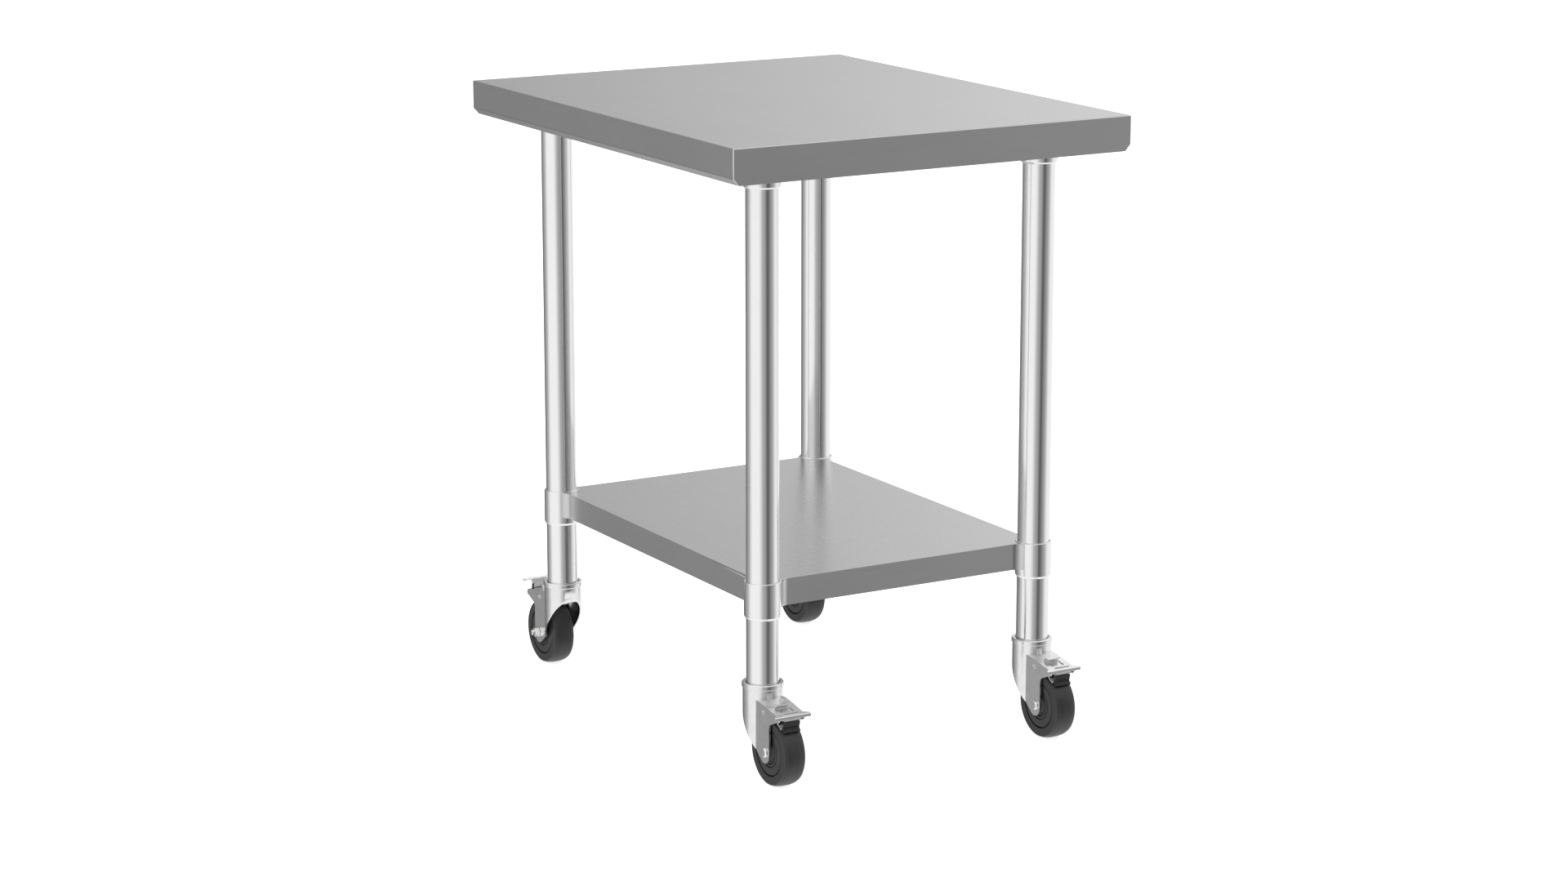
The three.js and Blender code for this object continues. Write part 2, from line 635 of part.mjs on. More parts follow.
// the pedal as it lies when the brake is on
function pedal() {
  const reach = Math.hypot(PLATE_FRONT[0] - PIVOT[0], PLATE_FRONT[1] - PIVOT[1]);
  const neck = reach + PEDAL_CLEARANCE;
  const barTop = PLATE_FRONT[1] + PEDAL_BAR_RISE;
  const barRear = PIVOT[0] + neck;
  const barFront = barRear + PEDAL_BAR_LENGTH;
  const t = PEDAL_SHEET;
  const [cornerBack, cornerDown] = PEDAL_LIP_CORNER;
  const bar = outlineOf([
    [barRear, barTop - t], [barFront - cornerBack, barTop - t - PEDAL_BAR_FALL],
    [barFront - t, barTop - PEDAL_LIP_DROP], [barFront, barTop - PEDAL_LIP_DROP],
    [barFront, barTop - cornerDown], [barFront - cornerBack, barTop - PEDAL_BAR_FALL],
    [barRear, barTop],
  ]);
  const [taperLength, taperWidth] = PEDAL_BAR_TAPER;
  const barHalf = PEDAL_WIDTH / 2;
  let strip = across(bar, barHalf);
  for (const side of [-1, 1]) {
    const corner = new THREE.ExtrudeGeometry(outlineOf([
      [barRear - 1, side * (barHalf - taperWidth)], [barRear, side * (barHalf - taperWidth)],
      [barRear + taperLength, side * barHalf], [barRear + taperLength, side * (barHalf + 1)],
      [barRear - 1, side * (barHalf + 1)],
    ]), { depth: FAR, bevelEnabled: false });
    strip = strip.subtract(solidOf(corner));
  }
  const half = PEDAL_ARM_WIDTH / 2;
  return rod(PEDAL_BOSS_RADIUS, -half, half, ...PIVOT)
    .add(band(WHEEL_CENTRE, BRAKE_INNER, ARM_OUTER, PEDAL_ARM_FROM, PEDAL_ARM_TO, half))
    .add(band(PIVOT, neck, neck + t, PEDAL_NECK_FROM, PEDAL_NECK_TO, half))
    .add(strip)
    .subtract(rod(PIVOT_DIAMETER / 2 + FIT, -FAR, FAR, ...PIVOT));
}

function shoe() {
  return band(WHEEL_CENTRE, BRAKE_INNER, SHOE_OUTER, SHOE_FROM, SHOE_TO, SHOE_WIDTH / 2);
}

// ---- assembly ----

const table = new THREE.Group();

table.add(meshOf('worktop', worktop(), brushed));
table.add(meshOf('top_channel_left', channel(-LEG_X), galvanised));
table.add(meshOf('top_channel_right', channel(LEG_X), galvanised));
table.add(meshOf('undershelf', undershelf(), brushed));

for (const corner of corners) {
  const { name } = corner;
  const post = new THREE.Group();
  post.position.set(corner.x * LEG_X, corner.y * LEG_Y, 0);
  const screwAtSocket = grubScrew(SOCKET_OD / 2, SOCKET_SCREW_HEIGHT, corner);
  const screwAtCollar = grubScrew(COLLAR_OD / 2, COLLAR_SCREW_HEIGHT, corner);
  post.add(meshOf(`socket_${name}`, socket(corner), polished));
  post.add(meshOf(`socket_screw_${name}`, screwAtSocket, zinc));
  post.add(meshOf(`leg_${name}`, leg(), polished));
  post.add(meshOf(`collar_${name}`, collar(corner), polished));
  post.add(meshOf(`collar_screw_${name}`, screwAtCollar, zinc));

  const caster = new THREE.Group();
  caster.rotation.z = corner.x > 0 ? 0 : Math.PI;
  caster.add(meshOf(`caster_stem_${name}`, stem(), zinc));
  caster.add(meshOf(`caster_fork_${name}`, fork(), zinc));
  caster.add(meshOf(`tyre_${name}`, tyre(), tyreRubber));
  caster.add(meshOf(`wheel_hub_${name}`, hub(), hubPlastic));
  caster.add(meshOf(`axle_bolt_${name}`, axleBolt(), zinc));
  caster.add(meshOf(`axle_nut_${name}`, axleNut(), zinc));
  caster.add(meshOf(`brake_pivot_${name}`, pivotPin(), zinc));

  const brake = new THREE.Group();
  brake.position.set(PIVOT[0], 0, PIVOT[1]);
  brake.rotation.y = corner.released ? -rad(PEDAL_TRAVEL) : 0;
  const brakeParts = new THREE.Group();
  brakeParts.position.set(-PIVOT[0], 0, -PIVOT[1]);
  brakeParts.add(meshOf(`brake_pedal_${name}`, pedal(), zinc));
  brakeParts.add(meshOf(`brake_shoe_${name}`, shoe(), shoeRubber));
  brake.add(brakeParts);
  caster.add(brake);

  post.add(caster);
  table.add(post);
}

export default table;
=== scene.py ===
# Stainless work table on four braked swivel casters.
# Pieces are modelled in millimetres round their own leg or in the table's frame, and placed in metres.
import math

import bmesh
import bpy
from mathutils import Matrix, Vector


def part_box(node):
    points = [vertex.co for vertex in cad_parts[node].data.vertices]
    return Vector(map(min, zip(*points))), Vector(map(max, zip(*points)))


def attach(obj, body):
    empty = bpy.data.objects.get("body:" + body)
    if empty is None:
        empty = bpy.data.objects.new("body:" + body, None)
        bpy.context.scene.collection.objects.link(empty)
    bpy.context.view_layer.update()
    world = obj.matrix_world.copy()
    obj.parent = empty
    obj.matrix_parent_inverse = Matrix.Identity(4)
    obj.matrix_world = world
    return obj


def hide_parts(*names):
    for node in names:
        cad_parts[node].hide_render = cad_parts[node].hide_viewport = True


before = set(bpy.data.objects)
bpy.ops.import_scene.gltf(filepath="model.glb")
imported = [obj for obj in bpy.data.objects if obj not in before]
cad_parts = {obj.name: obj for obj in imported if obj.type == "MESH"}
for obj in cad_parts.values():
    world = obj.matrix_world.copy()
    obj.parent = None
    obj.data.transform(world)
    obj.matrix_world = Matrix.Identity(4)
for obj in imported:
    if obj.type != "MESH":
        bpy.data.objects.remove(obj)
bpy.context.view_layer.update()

MM = 0.001

# ---- sizes and places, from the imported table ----


def extent(node):
    """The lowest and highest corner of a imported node, in millimetres."""
    low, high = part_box(node)
    return low / MM, high / MM


top_low, top_high = extent("worktop")
shelf_low, shelf_high = extent("undershelf")
leg_low, leg_high = extent("leg_front_right")
collar_low, collar_high = extent("collar_front_right")
socket_low, socket_high = extent("socket_front_right")
channel_low, channel_high = extent("top_channel_right")
tyre_low, tyre_high = extent("tyre_front_right")
hub_low, hub_high = extent("wheel_hub_front_right")
fork_low, fork_high = extent("caster_fork_front_right")
stem_low, stem_high = extent("caster_stem_front_right")
bolt_low, bolt_high = extent("axle_bolt_front_right")
nut_low, nut_high = extent("axle_nut_front_right")
pivot_low, pivot_high = extent("brake_pivot_front_right")

LEG_X = (leg_low.x + leg_high.x) / 2
LEG_Y = -(leg_low.y + leg_high.y) / 2
LEG_RADIUS = (leg_high.x - leg_low.x) / 2
COLLAR_RADIUS = (collar_high.x - collar_low.x) / 2
WHEEL_RADIUS = (tyre_high.z - tyre_low.z) / 2
TYRE_HALF = (tyre_high.y - tyre_low.y) / 2
HUB_HALF = (hub_high.y - hub_low.y) / 2
TRAIL = (tyre_low.x + tyre_high.x) / 2 - LEG_X
PIVOT_X = (pivot_low.x + pivot_high.x) / 2 - LEG_X
PIVOT_Z = (pivot_low.z + pivot_high.z) / 2
SLEEVE_TOP = fork_high.z
RING_RADIUS = (fork_high.y - fork_low.y) / 2

# sheet and tube thicknesses, and gaps between pieces
TOP_SHEET = 1.2
SHELF_SHEET = 1.2
CHANNEL_SHEET = 1.5
LEG_WALL = 1.5
FIT = 0.3
TUBE_FIT = 0.4

# worktop edges
EDGE_RADIUS = 2
BEVEL_IN = 8
BEVEL_UP = 9
CORNER_ROUND = 1.8
BEVEL_ROUND = 1.5

# undershelf edges and the flare that meets each collar
SHELF_EDGE_RADIUS = 3
FLARE_RADIUS = 16

# sockets, collars and screws
SOCKET_RADIUS = 25.5
SOCKET_PLATE = 2.5
SCREW_HOLE = 4.3
COLLAR_SNUG = LEG_RADIUS + 0.08

# channels under the worktop
CROWN_HALF = 32
CHANNEL_BEND = 1.5

# caster fork
SLEEVE_RADIUS = RING_RADIUS - 1.3
SLEEVE_WALL = 2.5
RING_HEIGHT = 7
FLOOR_LOW = 104
FLOOR_HIGH = 107.5
CHEEK_INNER = HUB_HALF + 0.8
CHEEK_OUTER = CHEEK_INNER + 2.5
CHEEK_BEND = 3.5
PLATE_SHEET = 2.5
PLATE_REAR = (0, 113.5)
PLATE_BEND = (TRAIL, 111.3)
PLATE_FRONT = (TRAIL + 31.5, 105.8)
NOSE_RADIUS = 4.5
NOSE_DOWN = 5.5
LUG_X = TRAIL - 2
LUG_Z = WHEEL_RADIUS - 3
LUG_RADIUS = 12.5
ARCH_TOP = 112.4
WINDOW_FROM = TRAIL + 9
WINDOW_LENGTH = 15
WINDOW_HALF = 10.5
RING_BORE = LEG_RADIUS + 0.9
RING_LIP = 3
TAB_RISE = 4
PIN_HOLE = 6.3

# brake pedal and shoe
PEDAL_SHEET = 2
PEDAL_GAP = 1
PEDAL_HALF = 14
PEDAL_NECK_HALF = 11
PEDAL_BOSS = 5.6
BAR_HALF = 27
BAR_LENGTH = 7
BAR_RISE = 1.2
BAR_LIP = 6
BAR_TAPER = (4.5, 6.5)
ARM_ANGLES = (51, 96)
NECK_ANGLES = (-23, 9)
TREAD_CLEAR = WHEEL_RADIUS / math.cos(math.pi / 24) + 0.5
SHOE_THICK = 4.2
SHOE_HALF = 12
SHOE_ANGLES = (43, 50.6)
# the apron: black shoe rubber over the front of the pedal's neck, partly the shoe's holder and partly
# painted shade under the bar
SHADE_APRON_ANGLES = (-24, -8)
SHADE_APRON_SHEET = 1.6
PEDAL_UP = math.radians(22)

# bolt, nut and pivot
AXLE_RADIUS = 4
PIVOT_RADIUS = 2.75

# facets round each kind of circle
FINE = 96
ROUND = 64
SMALL = 32

CORNERS = {
    "front_left": (-1, -1),
    "front_right": (1, -1),
    "rear_left": (-1, 1),
    "rear_right": (1, 1),
}

# ---- ways of working ----


def rest():
    """Back in object mode with nothing selected."""
    if bpy.context.mode != "OBJECT":
        bpy.ops.object.mode_set(mode="OBJECT")
    bpy.ops.object.select_all(action="DESELECT")


def take(piece):
    """Makes one piece the active one and the only one selected."""
    rest()
    bpy.context.view_layer.objects.active = piece
    piece.select_set(True)


def edit(piece):
    take(piece)
    bpy.ops.object.mode_set(mode="EDIT")
    bpy.ops.mesh.select_mode(type="VERT")
    bpy.ops.mesh.select_all(action="SELECT")


def pick(kind, test):
    """Selects the faces, edges or vertices being edited whose middle and direction pass a test."""
    data = bpy.context.edit_object.data
    bpy.ops.mesh.select_mode(type=kind)
    bpy.ops.mesh.select_all(action="DESELECT")
    mesh = bmesh.from_edit_mesh(data)
    if kind == "FACE":
        found = [f for f in mesh.faces if test(f.calc_center_median(), f.normal)]
    elif kind == "EDGE":
        ends = [(e, e.verts[0].co, e.verts[1].co) for e in mesh.edges]
        found = [e for e, a, b in ends if test((a + b) / 2, (b - a).normalized())]
    else:
        found = [v for v in mesh.verts if test(v.co)]
    for part in found:
        part.select_set(True)
    bmesh.update_edit_mesh(data)
    return len(found)


def tidy_shell(gap=0.002):
    """Merges doubles and points every face of the shell being edited outwards."""
    bpy.ops.mesh.select_mode(type="VERT")
    bpy.ops.mesh.select_all(action="SELECT")
    bpy.ops.mesh.remove_doubles(threshold=gap)
    bpy.ops.mesh.normals_make_consistent(inside=False)


def round_edges(test, width, segments=3):
    """Rolls the edges that pass a test over to a radius."""
    if pick("EDGE", test):
        bpy.ops.mesh.bevel(offset=width, segments=segments, affect="EDGES", clamp_overlap=True)


def rounded(corners):
    """A closed outline from (a, b, radius) corners, with an arc wherever the radius isn't nought."""
    outline = []
    for i, (a, b, radius) in enumerate(corners):
        here = Vector((a, b))
        if radius == 0:
            outline.append(here)
            continue
        back = (Vector(corners[i - 1][:2]) - here).normalized()
        on = (Vector(corners[(i + 1) % len(corners)][:2]) - here).normalized()
        turn = math.pi - back.angle(on)
        reach = radius * math.tan(turn / 2)
        middle = here + (back + on).normalized() * radius / math.cos(turn / 2)
        steps = max(2, math.ceil(math.degrees(turn) / 12))
        start = here + back * reach - middle
        side = 1 if back.x * on.y - back.y * on.x < 0 else -1
        for k in range(steps + 1):
            angle = side * turn * k / steps
            outline.append(middle + Matrix.Rotation(angle, 2) @ start)
    return outline


def arc(a, b, radius, start, end, steps):
    """Points round a centre, from one angle to another in degrees."""
    angles = [math.radians(start + (end - start) * k / steps) for k in range(steps + 1)]
    return [Vector((a + radius * math.cos(t), b + radius * math.sin(t))) for t in angles]


def trace(name, points):
    """A closed wire through 3-D points, drawn on from one corner, and left in edit mode."""
    rest()
    bpy.ops.mesh.primitive_plane_add(size=1, location=points[0])
    piece = bpy.context.object
    piece.name = name
    bpy.ops.object.transform_apply(location=True, rotation=True, scale=True)
    edit(piece)
    bpy.ops.mesh.merge(type="CENTER")
    for here, there in zip(points, points[1:]):
        bpy.ops.mesh.extrude_vertices_move(TRANSFORM_OT_translate={"value": there - here})
    bpy.ops.mesh.select_all(action="SELECT")
    bpy.ops.mesh.remove_doubles(threshold=0.0005)
    return piece


def filled(name, points, push):
    """A solid from an outline that is filled and pushed out along a vector."""
    piece = trace(name, points + points[:1])
    bpy.ops.mesh.edge_face_add()
    bpy.ops.mesh.extrude_region_move(TRANSFORM_OT_translate={"value": push})
    tidy_shell()
    rest()
    return piece


def across(name, outline, half):
    """A solid from an outline in X and Z, from -half to +half across Y."""
    points = [Vector((a, -half, b)) for a, b in outline]
    return filled(name, points, Vector((0, 2 * half, 0)))


def upright(name, outline, low, high):
    """A solid from an outline in X and Y, from low to high."""
    points = [Vector((a, b, low)) for a, b in outline]
    return filled(name, points, Vector((0, 0, high - low)))


def turned(name, outline, steps=ROUND, axis="Z", middle=(0, 0, 0)):
    """A solid turned about an axis from a closed outline of radius and height."""
    middle = Vector(middle)
    if axis == "Z":
        points = [middle + Vector((r, 0, h)) for r, h in outline]
        about = (0, 0, 1)
    else:
        points = [middle + Vector((r, h, 0)) for r, h in outline]
        about = (0, 1, 0)
    on_axis = outline[0][0] < 1e-6 and outline[-1][0] < 1e-6
    if not on_axis:
        points.append(points[0])
    piece = trace(name, points)
    bpy.ops.mesh.spin(steps=steps, angle=math.tau, center=middle, axis=about)
    tidy_shell()
    rest()
    return piece


def plain_rod(radius, low, high, steps=ROUND, axis="Z", middle=(0, 0, 0)):
    """A solid rod to cut with, from low to high along an axis."""
    return turned("cutter", [(0, low), (radius, low), (radius, high), (0, high)], steps, axis, middle)


def work(piece, other, way):
    """Cuts a piece by another, or joins the other to it."""
    take(piece)
    change = piece.modifiers.new(way, "BOOLEAN")
    change.operation = way
    change.solver = "EXACT"
    change.object = other
    bpy.ops.object.modifier_apply(modifier=change.name)
    bpy.data.objects.remove(other, do_unlink=True)


def cut(piece, *others):
    for other in others:
        work(piece, other, "DIFFERENCE")


def join(piece, *others):
    for other in others:
        work(piece, other, "UNION")


def flatten(piece, degrees=0.5):
    """Takes out the edges that a cut leaves in flat faces."""
    edit(piece)
    bpy.ops.mesh.remove_doubles(threshold=0.004)
    bpy.ops.mesh.dissolve_limited(angle_limit=math.radians(degrees))
    rest()


def ease(piece, width, segments=2, degrees=38):
    """Breaks the sharp edges of a piece."""
    take(piece)
    change = piece.modifiers.new("eased edges", "BEVEL")
    change.width = width
    change.segments = segments
    change.limit_method = "ANGLE"
    change.angle_limit = math.radians(degrees)
    change.use_clamp_overlap = True
    change.miter_outer = "MITER_ARC"
    bpy.ops.object.modifier_apply(modifier=change.name)


def thicken(piece, wall):
    """Gives an open shell its wall, on the inside."""
    take(piece)
    change = piece.modifiers.new("wall", "SOLIDIFY")
    change.thickness = wall
    change.offset = -1
    change.use_even_offset = True
    bpy.ops.object.modifier_apply(modifier=change.name)


def shade(piece, degrees=40):
    """Smooth across bends, with flat faces kept flat."""
    take(piece)
    bpy.ops.object.shade_smooth_by_angle(angle=math.radians(degrees))
    change = piece.modifiers.new("flat faces stay flat", "WEIGHTED_NORMAL")
    change.keep_sharp = True
    change.weight = 100
    bpy.ops.object.modifier_apply(modifier=change.name)
    rest()


# ---- shader node groups ----


def add(tree, kind, settings=None, **inputs):
    """A node with its settings, and its inputs as numbers, colours or other nodes' outputs."""
    made = tree.nodes.new(kind)
    for name, value in (settings or {}).items():
        setattr(made, name, value)
    for name, value in inputs.items():
        socket = made.inputs[name.replace("_", " ")]
        if isinstance(value, bpy.types.NodeSocket):
            tree.links.new(value, socket)
        else:
            socket.default_value = value
    return made


def maths(tree, operation, first, second=0.0):
    made = tree.nodes.new("ShaderNodeMath")
    made.operation = operation
    for socket, value in zip(made.inputs, (first, second)):
        if isinstance(value, bpy.types.NodeSocket):
            tree.links.new(value, socket)
        else:
            socket.default_value = value
    return made.outputs[0]


def spread(tree, value, low, high, start=0.0, end=1.0):
    """Carries a value from start..end over to low..high."""
    made = add(tree, "ShaderNodeMapRange", Value=value, From_Min=start, From_Max=end,
               To_Min=low, To_Max=high)
    return made.outputs["Result"]


def noise(tree, coordinates, scale, detail=3.0, roughness=0.5):
    made = add(tree, "ShaderNodeTexNoise", Vector=coordinates, Scale=scale, Detail=detail,
               Roughness=roughness)
    return made.outputs["Fac"]


def stretched(tree, coordinates, scale):
    made = add(tree, "ShaderNodeMapping", Vector=coordinates, Scale=scale)
    return made.outputs["Vector"]


def new_group(name, inputs, outputs):
    """An empty shader group with vector or number inputs and number outputs."""
    group = bpy.data.node_groups.new(name, "ShaderNodeTree")
    for socket, value in inputs.items():
        kind = "NodeSocketVector" if value is None else "NodeSocketFloat"
        made = group.interface.new_socket(socket, in_out="INPUT", socket_type=kind)
        if value is not None:
            made.default_value = value
    for socket in outputs:
        group.interface.new_socket(socket, in_out="OUTPUT", socket_type="NodeSocketFloat")
    return group, group.nodes.new("NodeGroupInput").outputs, group.nodes.new("NodeGroupOutput").inputs


def brushed_lines_group():
    """Fine lines from a belt, long along X of the given coordinates."""
    group, given, out = new_group("brushed lines", {"Coordinates": None, "Fineness": 500.0},
                                  ["Lines", "Height"])
    long_grain = stretched(group, given["Coordinates"], (0.01, 1, 1))
    fine = add(group, "ShaderNodeTexNoise", Vector=long_grain, Scale=given["Fineness"], Detail=2.0,
               Roughness=0.5).outputs["Fac"]
    coarse = noise(group, long_grain, 130.0, 2.0)
    mixed = maths(group, "ADD", maths(group, "MULTIPLY", fine, 0.75), maths(group, "MULTIPLY", coarse, 0.25))
    group.links.new(spread(group, mixed, 0.0, 1.0, 0.3, 0.7), out["Lines"])
    group.links.new(fine, out["Height"])
    return group


def handling_group():
    """Wiped and handled patches, and a few hairline scratches."""
    group, given, out = new_group("handling", {"Coordinates": None, "Size": 9.0}, ["Patches", "Scratches"])
    wipes = stretched(group, given["Coordinates"], (0.55, 1, 1))
    made = add(group, "ShaderNodeTexNoise", Vector=wipes, Scale=given["Size"], Detail=4.0, Roughness=0.55)
    group.links.new(spread(group, made.outputs["Fac"], 0.0, 1.0, 0.38, 0.68), out["Patches"])
    bent = add(group, "ShaderNodeMapping", Vector=given["Coordinates"], Rotation=(0.3, 0.2, 0.55),
               Scale=(1.2, 26, 26))
    cells = add(group, "ShaderNodeTexVoronoi", {"feature": "DISTANCE_TO_EDGE"},
                Vector=bent.outputs["Vector"], Scale=3.0)
    lines = spread(group, cells.outputs["Distance"], 1.0, 0.0, 0.0, 0.012)
    where = spread(group, noise(group, given["Coordinates"], 14.0, 2.0), 0.0, 1.0, 0.55, 0.7)
    group.links.new(maths(group, "MULTIPLY", lines, where), out["Scratches"])
    return group


def speckle_group():
    """Fine even grain of moulded or plated surfaces, with broad clouding."""
    group, given, out = new_group("speckle", {"Coordinates": None, "Grain": 900.0, "Cloud": 40.0},
                                  ["Speckle", "Clouding"])
    grain = add(group, "ShaderNodeTexNoise", Vector=given["Coordinates"], Scale=given["Grain"], Detail=2.0)
    cloud = add(group, "ShaderNodeTexNoise", Vector=given["Coordinates"], Scale=given["Cloud"], Detail=3.0)
    group.links.new(spread(group, grain.outputs["Fac"], 0.0, 1.0, 0.3, 0.7), out["Speckle"])
    group.links.new(spread(group, cloud.outputs["Fac"], 0.0, 1.0, 0.35, 0.65), out["Clouding"])
    return group


def spangle_group():
    """The crystal pattern of hot-dip zinc."""
    group, given, out = new_group("spangle", {"Coordinates": None, "Size": 160.0}, ["Crystals", "Facets"])
    warped = add(group, "ShaderNodeTexVoronoi", Vector=given["Coordinates"], Scale=given["Size"],
                 Randomness=1.0)
    shades = add(group, "ShaderNodeSeparateColor", Color=warped.outputs["Color"])
    group.links.new(shades.outputs["Red"], out["Crystals"])
    group.links.new(shades.outputs["Green"], out["Facets"])
    return group


LINES = brushed_lines_group()
HANDLING = handling_group()
SPECKLE = speckle_group()
SPANGLE = spangle_group()


def use(tree, group, **inputs):
    made = tree.nodes.new("ShaderNodeGroup")
    made.node_tree = group
    for name, value in inputs.items():
        socket = made.inputs[name]
        if isinstance(value, bpy.types.NodeSocket):
            tree.links.new(value, socket)
        else:
            socket.default_value = value
    return made.outputs


# ---- materials ----


def begin(name):
    """A material with its shader and the piece's own coordinates."""
    material = bpy.data.materials.new(name)
    material.use_nodes = True
    tree = material.node_tree
    shader = tree.nodes["Principled BSDF"]
    coordinates = tree.nodes.new("ShaderNodeTexCoord").outputs["Object"]
    return material, tree, shader, coordinates


def tone(tree, value, dark, light):
    """A colour between two greys or tints, by a value from 0 to 1."""
    made = add(tree, "ShaderNodeValToRGB", Fac=value)
    made.color_ramp.elements[0].color = (*dark, 1)
    made.color_ramp.elements[1].color = (*light, 1)
    return made.outputs["Color"]


def bump(tree, height, strength, distance, under=None):
    made = add(tree, "ShaderNodeBump", Strength=strength, Distance=distance, Height=height)
    if under is not None:
        tree.links.new(under, made.inputs["Normal"])
    return made.outputs["Normal"]


def brushed_metal(name, dark, light, smooth, rough, fineness, turn, relief):
    """Metal with a belt grain along X, turned to lie another way."""
    material, tree, shader, coordinates = begin(name)
    turned_grain = add(tree, "ShaderNodeMapping", Vector=coordinates, Rotation=turn).outputs["Vector"]
    grain = use(tree, LINES, Coordinates=turned_grain, Fineness=fineness)
    marks = use(tree, HANDLING, Coordinates=turned_grain)
    shader.inputs["Metallic"].default_value = 1.0
    shade_value = maths(tree, "ADD", maths(tree, "MULTIPLY", grain["Lines"], 0.7),
                        maths(tree, "MULTIPLY", marks["Patches"], 0.3))
    tree.links.new(tone(tree, shade_value, dark, light), shader.inputs["Base Color"])
    lined = maths(tree, "ADD", maths(tree, "MULTIPLY", grain["Lines"], 0.6),
                  maths(tree, "MULTIPLY", marks["Patches"], 0.4))
    scratched = maths(tree, "ADD", spread(tree, lined, smooth, rough),
                      maths(tree, "MULTIPLY", marks["Scratches"], 0.05))
    tree.links.new(scratched, shader.inputs["Roughness"])
    fine = bump(tree, grain["Height"], relief, 0.0001)
    tree.links.new(bump(tree, marks["Scratches"], 0.04, -0.0001, fine), shader.inputs["Normal"])
    return material


def galvanised():
    material, tree, shader, coordinates = begin("hot-dip zinc")
    crystals = use(tree, SPANGLE, Coordinates=coordinates, Size=150.0)
    speckle = use(tree, SPECKLE, Coordinates=coordinates, Grain=1200.0, Cloud=25.0)
    shader.inputs["Metallic"].default_value = 1.0
    tree.links.new(tone(tree, crystals["Crystals"], (0.46, 0.47, 0.48), (0.62, 0.63, 0.635)),
                   shader.inputs["Base Color"])
    rough = maths(tree, "ADD", spread(tree, crystals["Facets"], 0.32, 0.46),
                  maths(tree, "MULTIPLY", speckle["Clouding"], 0.06))
    tree.links.new(rough, shader.inputs["Roughness"])
    tree.links.new(bump(tree, speckle["Speckle"], 0.06, 0.0002), shader.inputs["Normal"])
    return material


def zinc_plate(name, dark, light, smooth, rough):
    material, tree, shader, coordinates = begin(name)
    speckle = use(tree, SPECKLE, Coordinates=coordinates, Grain=1500.0, Cloud=90.0)
    marks = use(tree, HANDLING, Coordinates=coordinates, Size=45.0)
    shader.inputs["Metallic"].default_value = 1.0
    shade_value = maths(tree, "ADD", maths(tree, "MULTIPLY", speckle["Clouding"], 0.6),
                        maths(tree, "MULTIPLY", speckle["Speckle"], 0.4))
    tree.links.new(tone(tree, shade_value, dark, light), shader.inputs["Base Color"])
    tree.links.new(spread(tree, marks["Patches"], smooth, rough), shader.inputs["Roughness"])
    tree.links.new(bump(tree, speckle["Speckle"], 0.04, 0.00005), shader.inputs["Normal"])
    return material


def moulded(name, dark, light, smooth, rough, relief, sheen=0.5):
    """Rubber or plastic from a mould, with a fine grain and light scuffs."""
    material, tree, shader, coordinates = begin(name)
    speckle = use(tree, SPECKLE, Coordinates=coordinates, Grain=1300.0, Cloud=60.0)
    marks = use(tree, HANDLING, Coordinates=coordinates, Size=70.0)
    shade_value = maths(tree, "ADD", maths(tree, "MULTIPLY", speckle["Clouding"], 0.5),
                        maths(tree, "MULTIPLY", marks["Patches"], 0.5))
    tree.links.new(tone(tree, shade_value, dark, light), shader.inputs["Base Color"])
    tree.links.new(spread(tree, speckle["Clouding"], smooth, rough), shader.inputs["Roughness"])
    shader.inputs["Specular IOR Level"].default_value = sheen
    tree.links.new(bump(tree, speckle["Speckle"], relief, 0.0003), shader.inputs["Normal"])
    return material


QUARTER = math.pi / 2

SHEET_ALONG = brushed_metal("brushed stainless sheet", (0.605, 0.605, 0.61), (0.655, 0.655, 0.66),
                            0.25, 0.29, 1800.0, (0, 0, 0), 0.06)
SHEET_UPRIGHT = brushed_metal("brushed stainless end", (0.605, 0.605, 0.61), (0.655, 0.655, 0.66),
                              0.27, 0.31, 1800.0, (0, 0, QUARTER), 0.06)
TUBE = brushed_metal("polished stainless tube", (0.87, 0.87, 0.87), (0.91, 0.91, 0.91),
                     0.13, 0.16, 2200.0, (0, 0, 0), 0.03)
GALVANISED = galvanised()
ZINC = zinc_plate("zinc-plated steel", (0.80, 0.80, 0.80), (0.88, 0.88, 0.875), 0.17, 0.22)
BRIGHT_ZINC = zinc_plate("bright zinc fixings", (0.84, 0.84, 0.83), (0.92, 0.92, 0.91), 0.14, 0.22)
TYRE_RUBBER = moulded("tyre rubber", (0.036, 0.0365, 0.038), (0.046, 0.0465, 0.048), 0.40, 0.50, 0.10)
HUB_PLASTIC = moulded("hub nylon", (0.044, 0.0445, 0.046), (0.056, 0.0565, 0.058), 0.36, 0.46, 0.08)
SHOE_RUBBER = moulded("shoe rubber", (0.010, 0.010, 0.011), (0.020, 0.020, 0.021), 0.40, 0.55, 0.2)

# ---- worktop and the channels under it ----


def block(name, low, high):
    """A box between two corners, left in edit mode."""
    rest()
    bpy.ops.mesh.primitive_cube_add(size=1, location=(low + high) / 2)
    piece = bpy.context.object
    piece.name = name
    piece.scale = high - low
    bpy.ops.object.transform_apply(location=False, rotation=False, scale=True)
    bpy.ops.object.transform_apply(location=True, rotation=True, scale=True)
    edit(piece)
    return piece


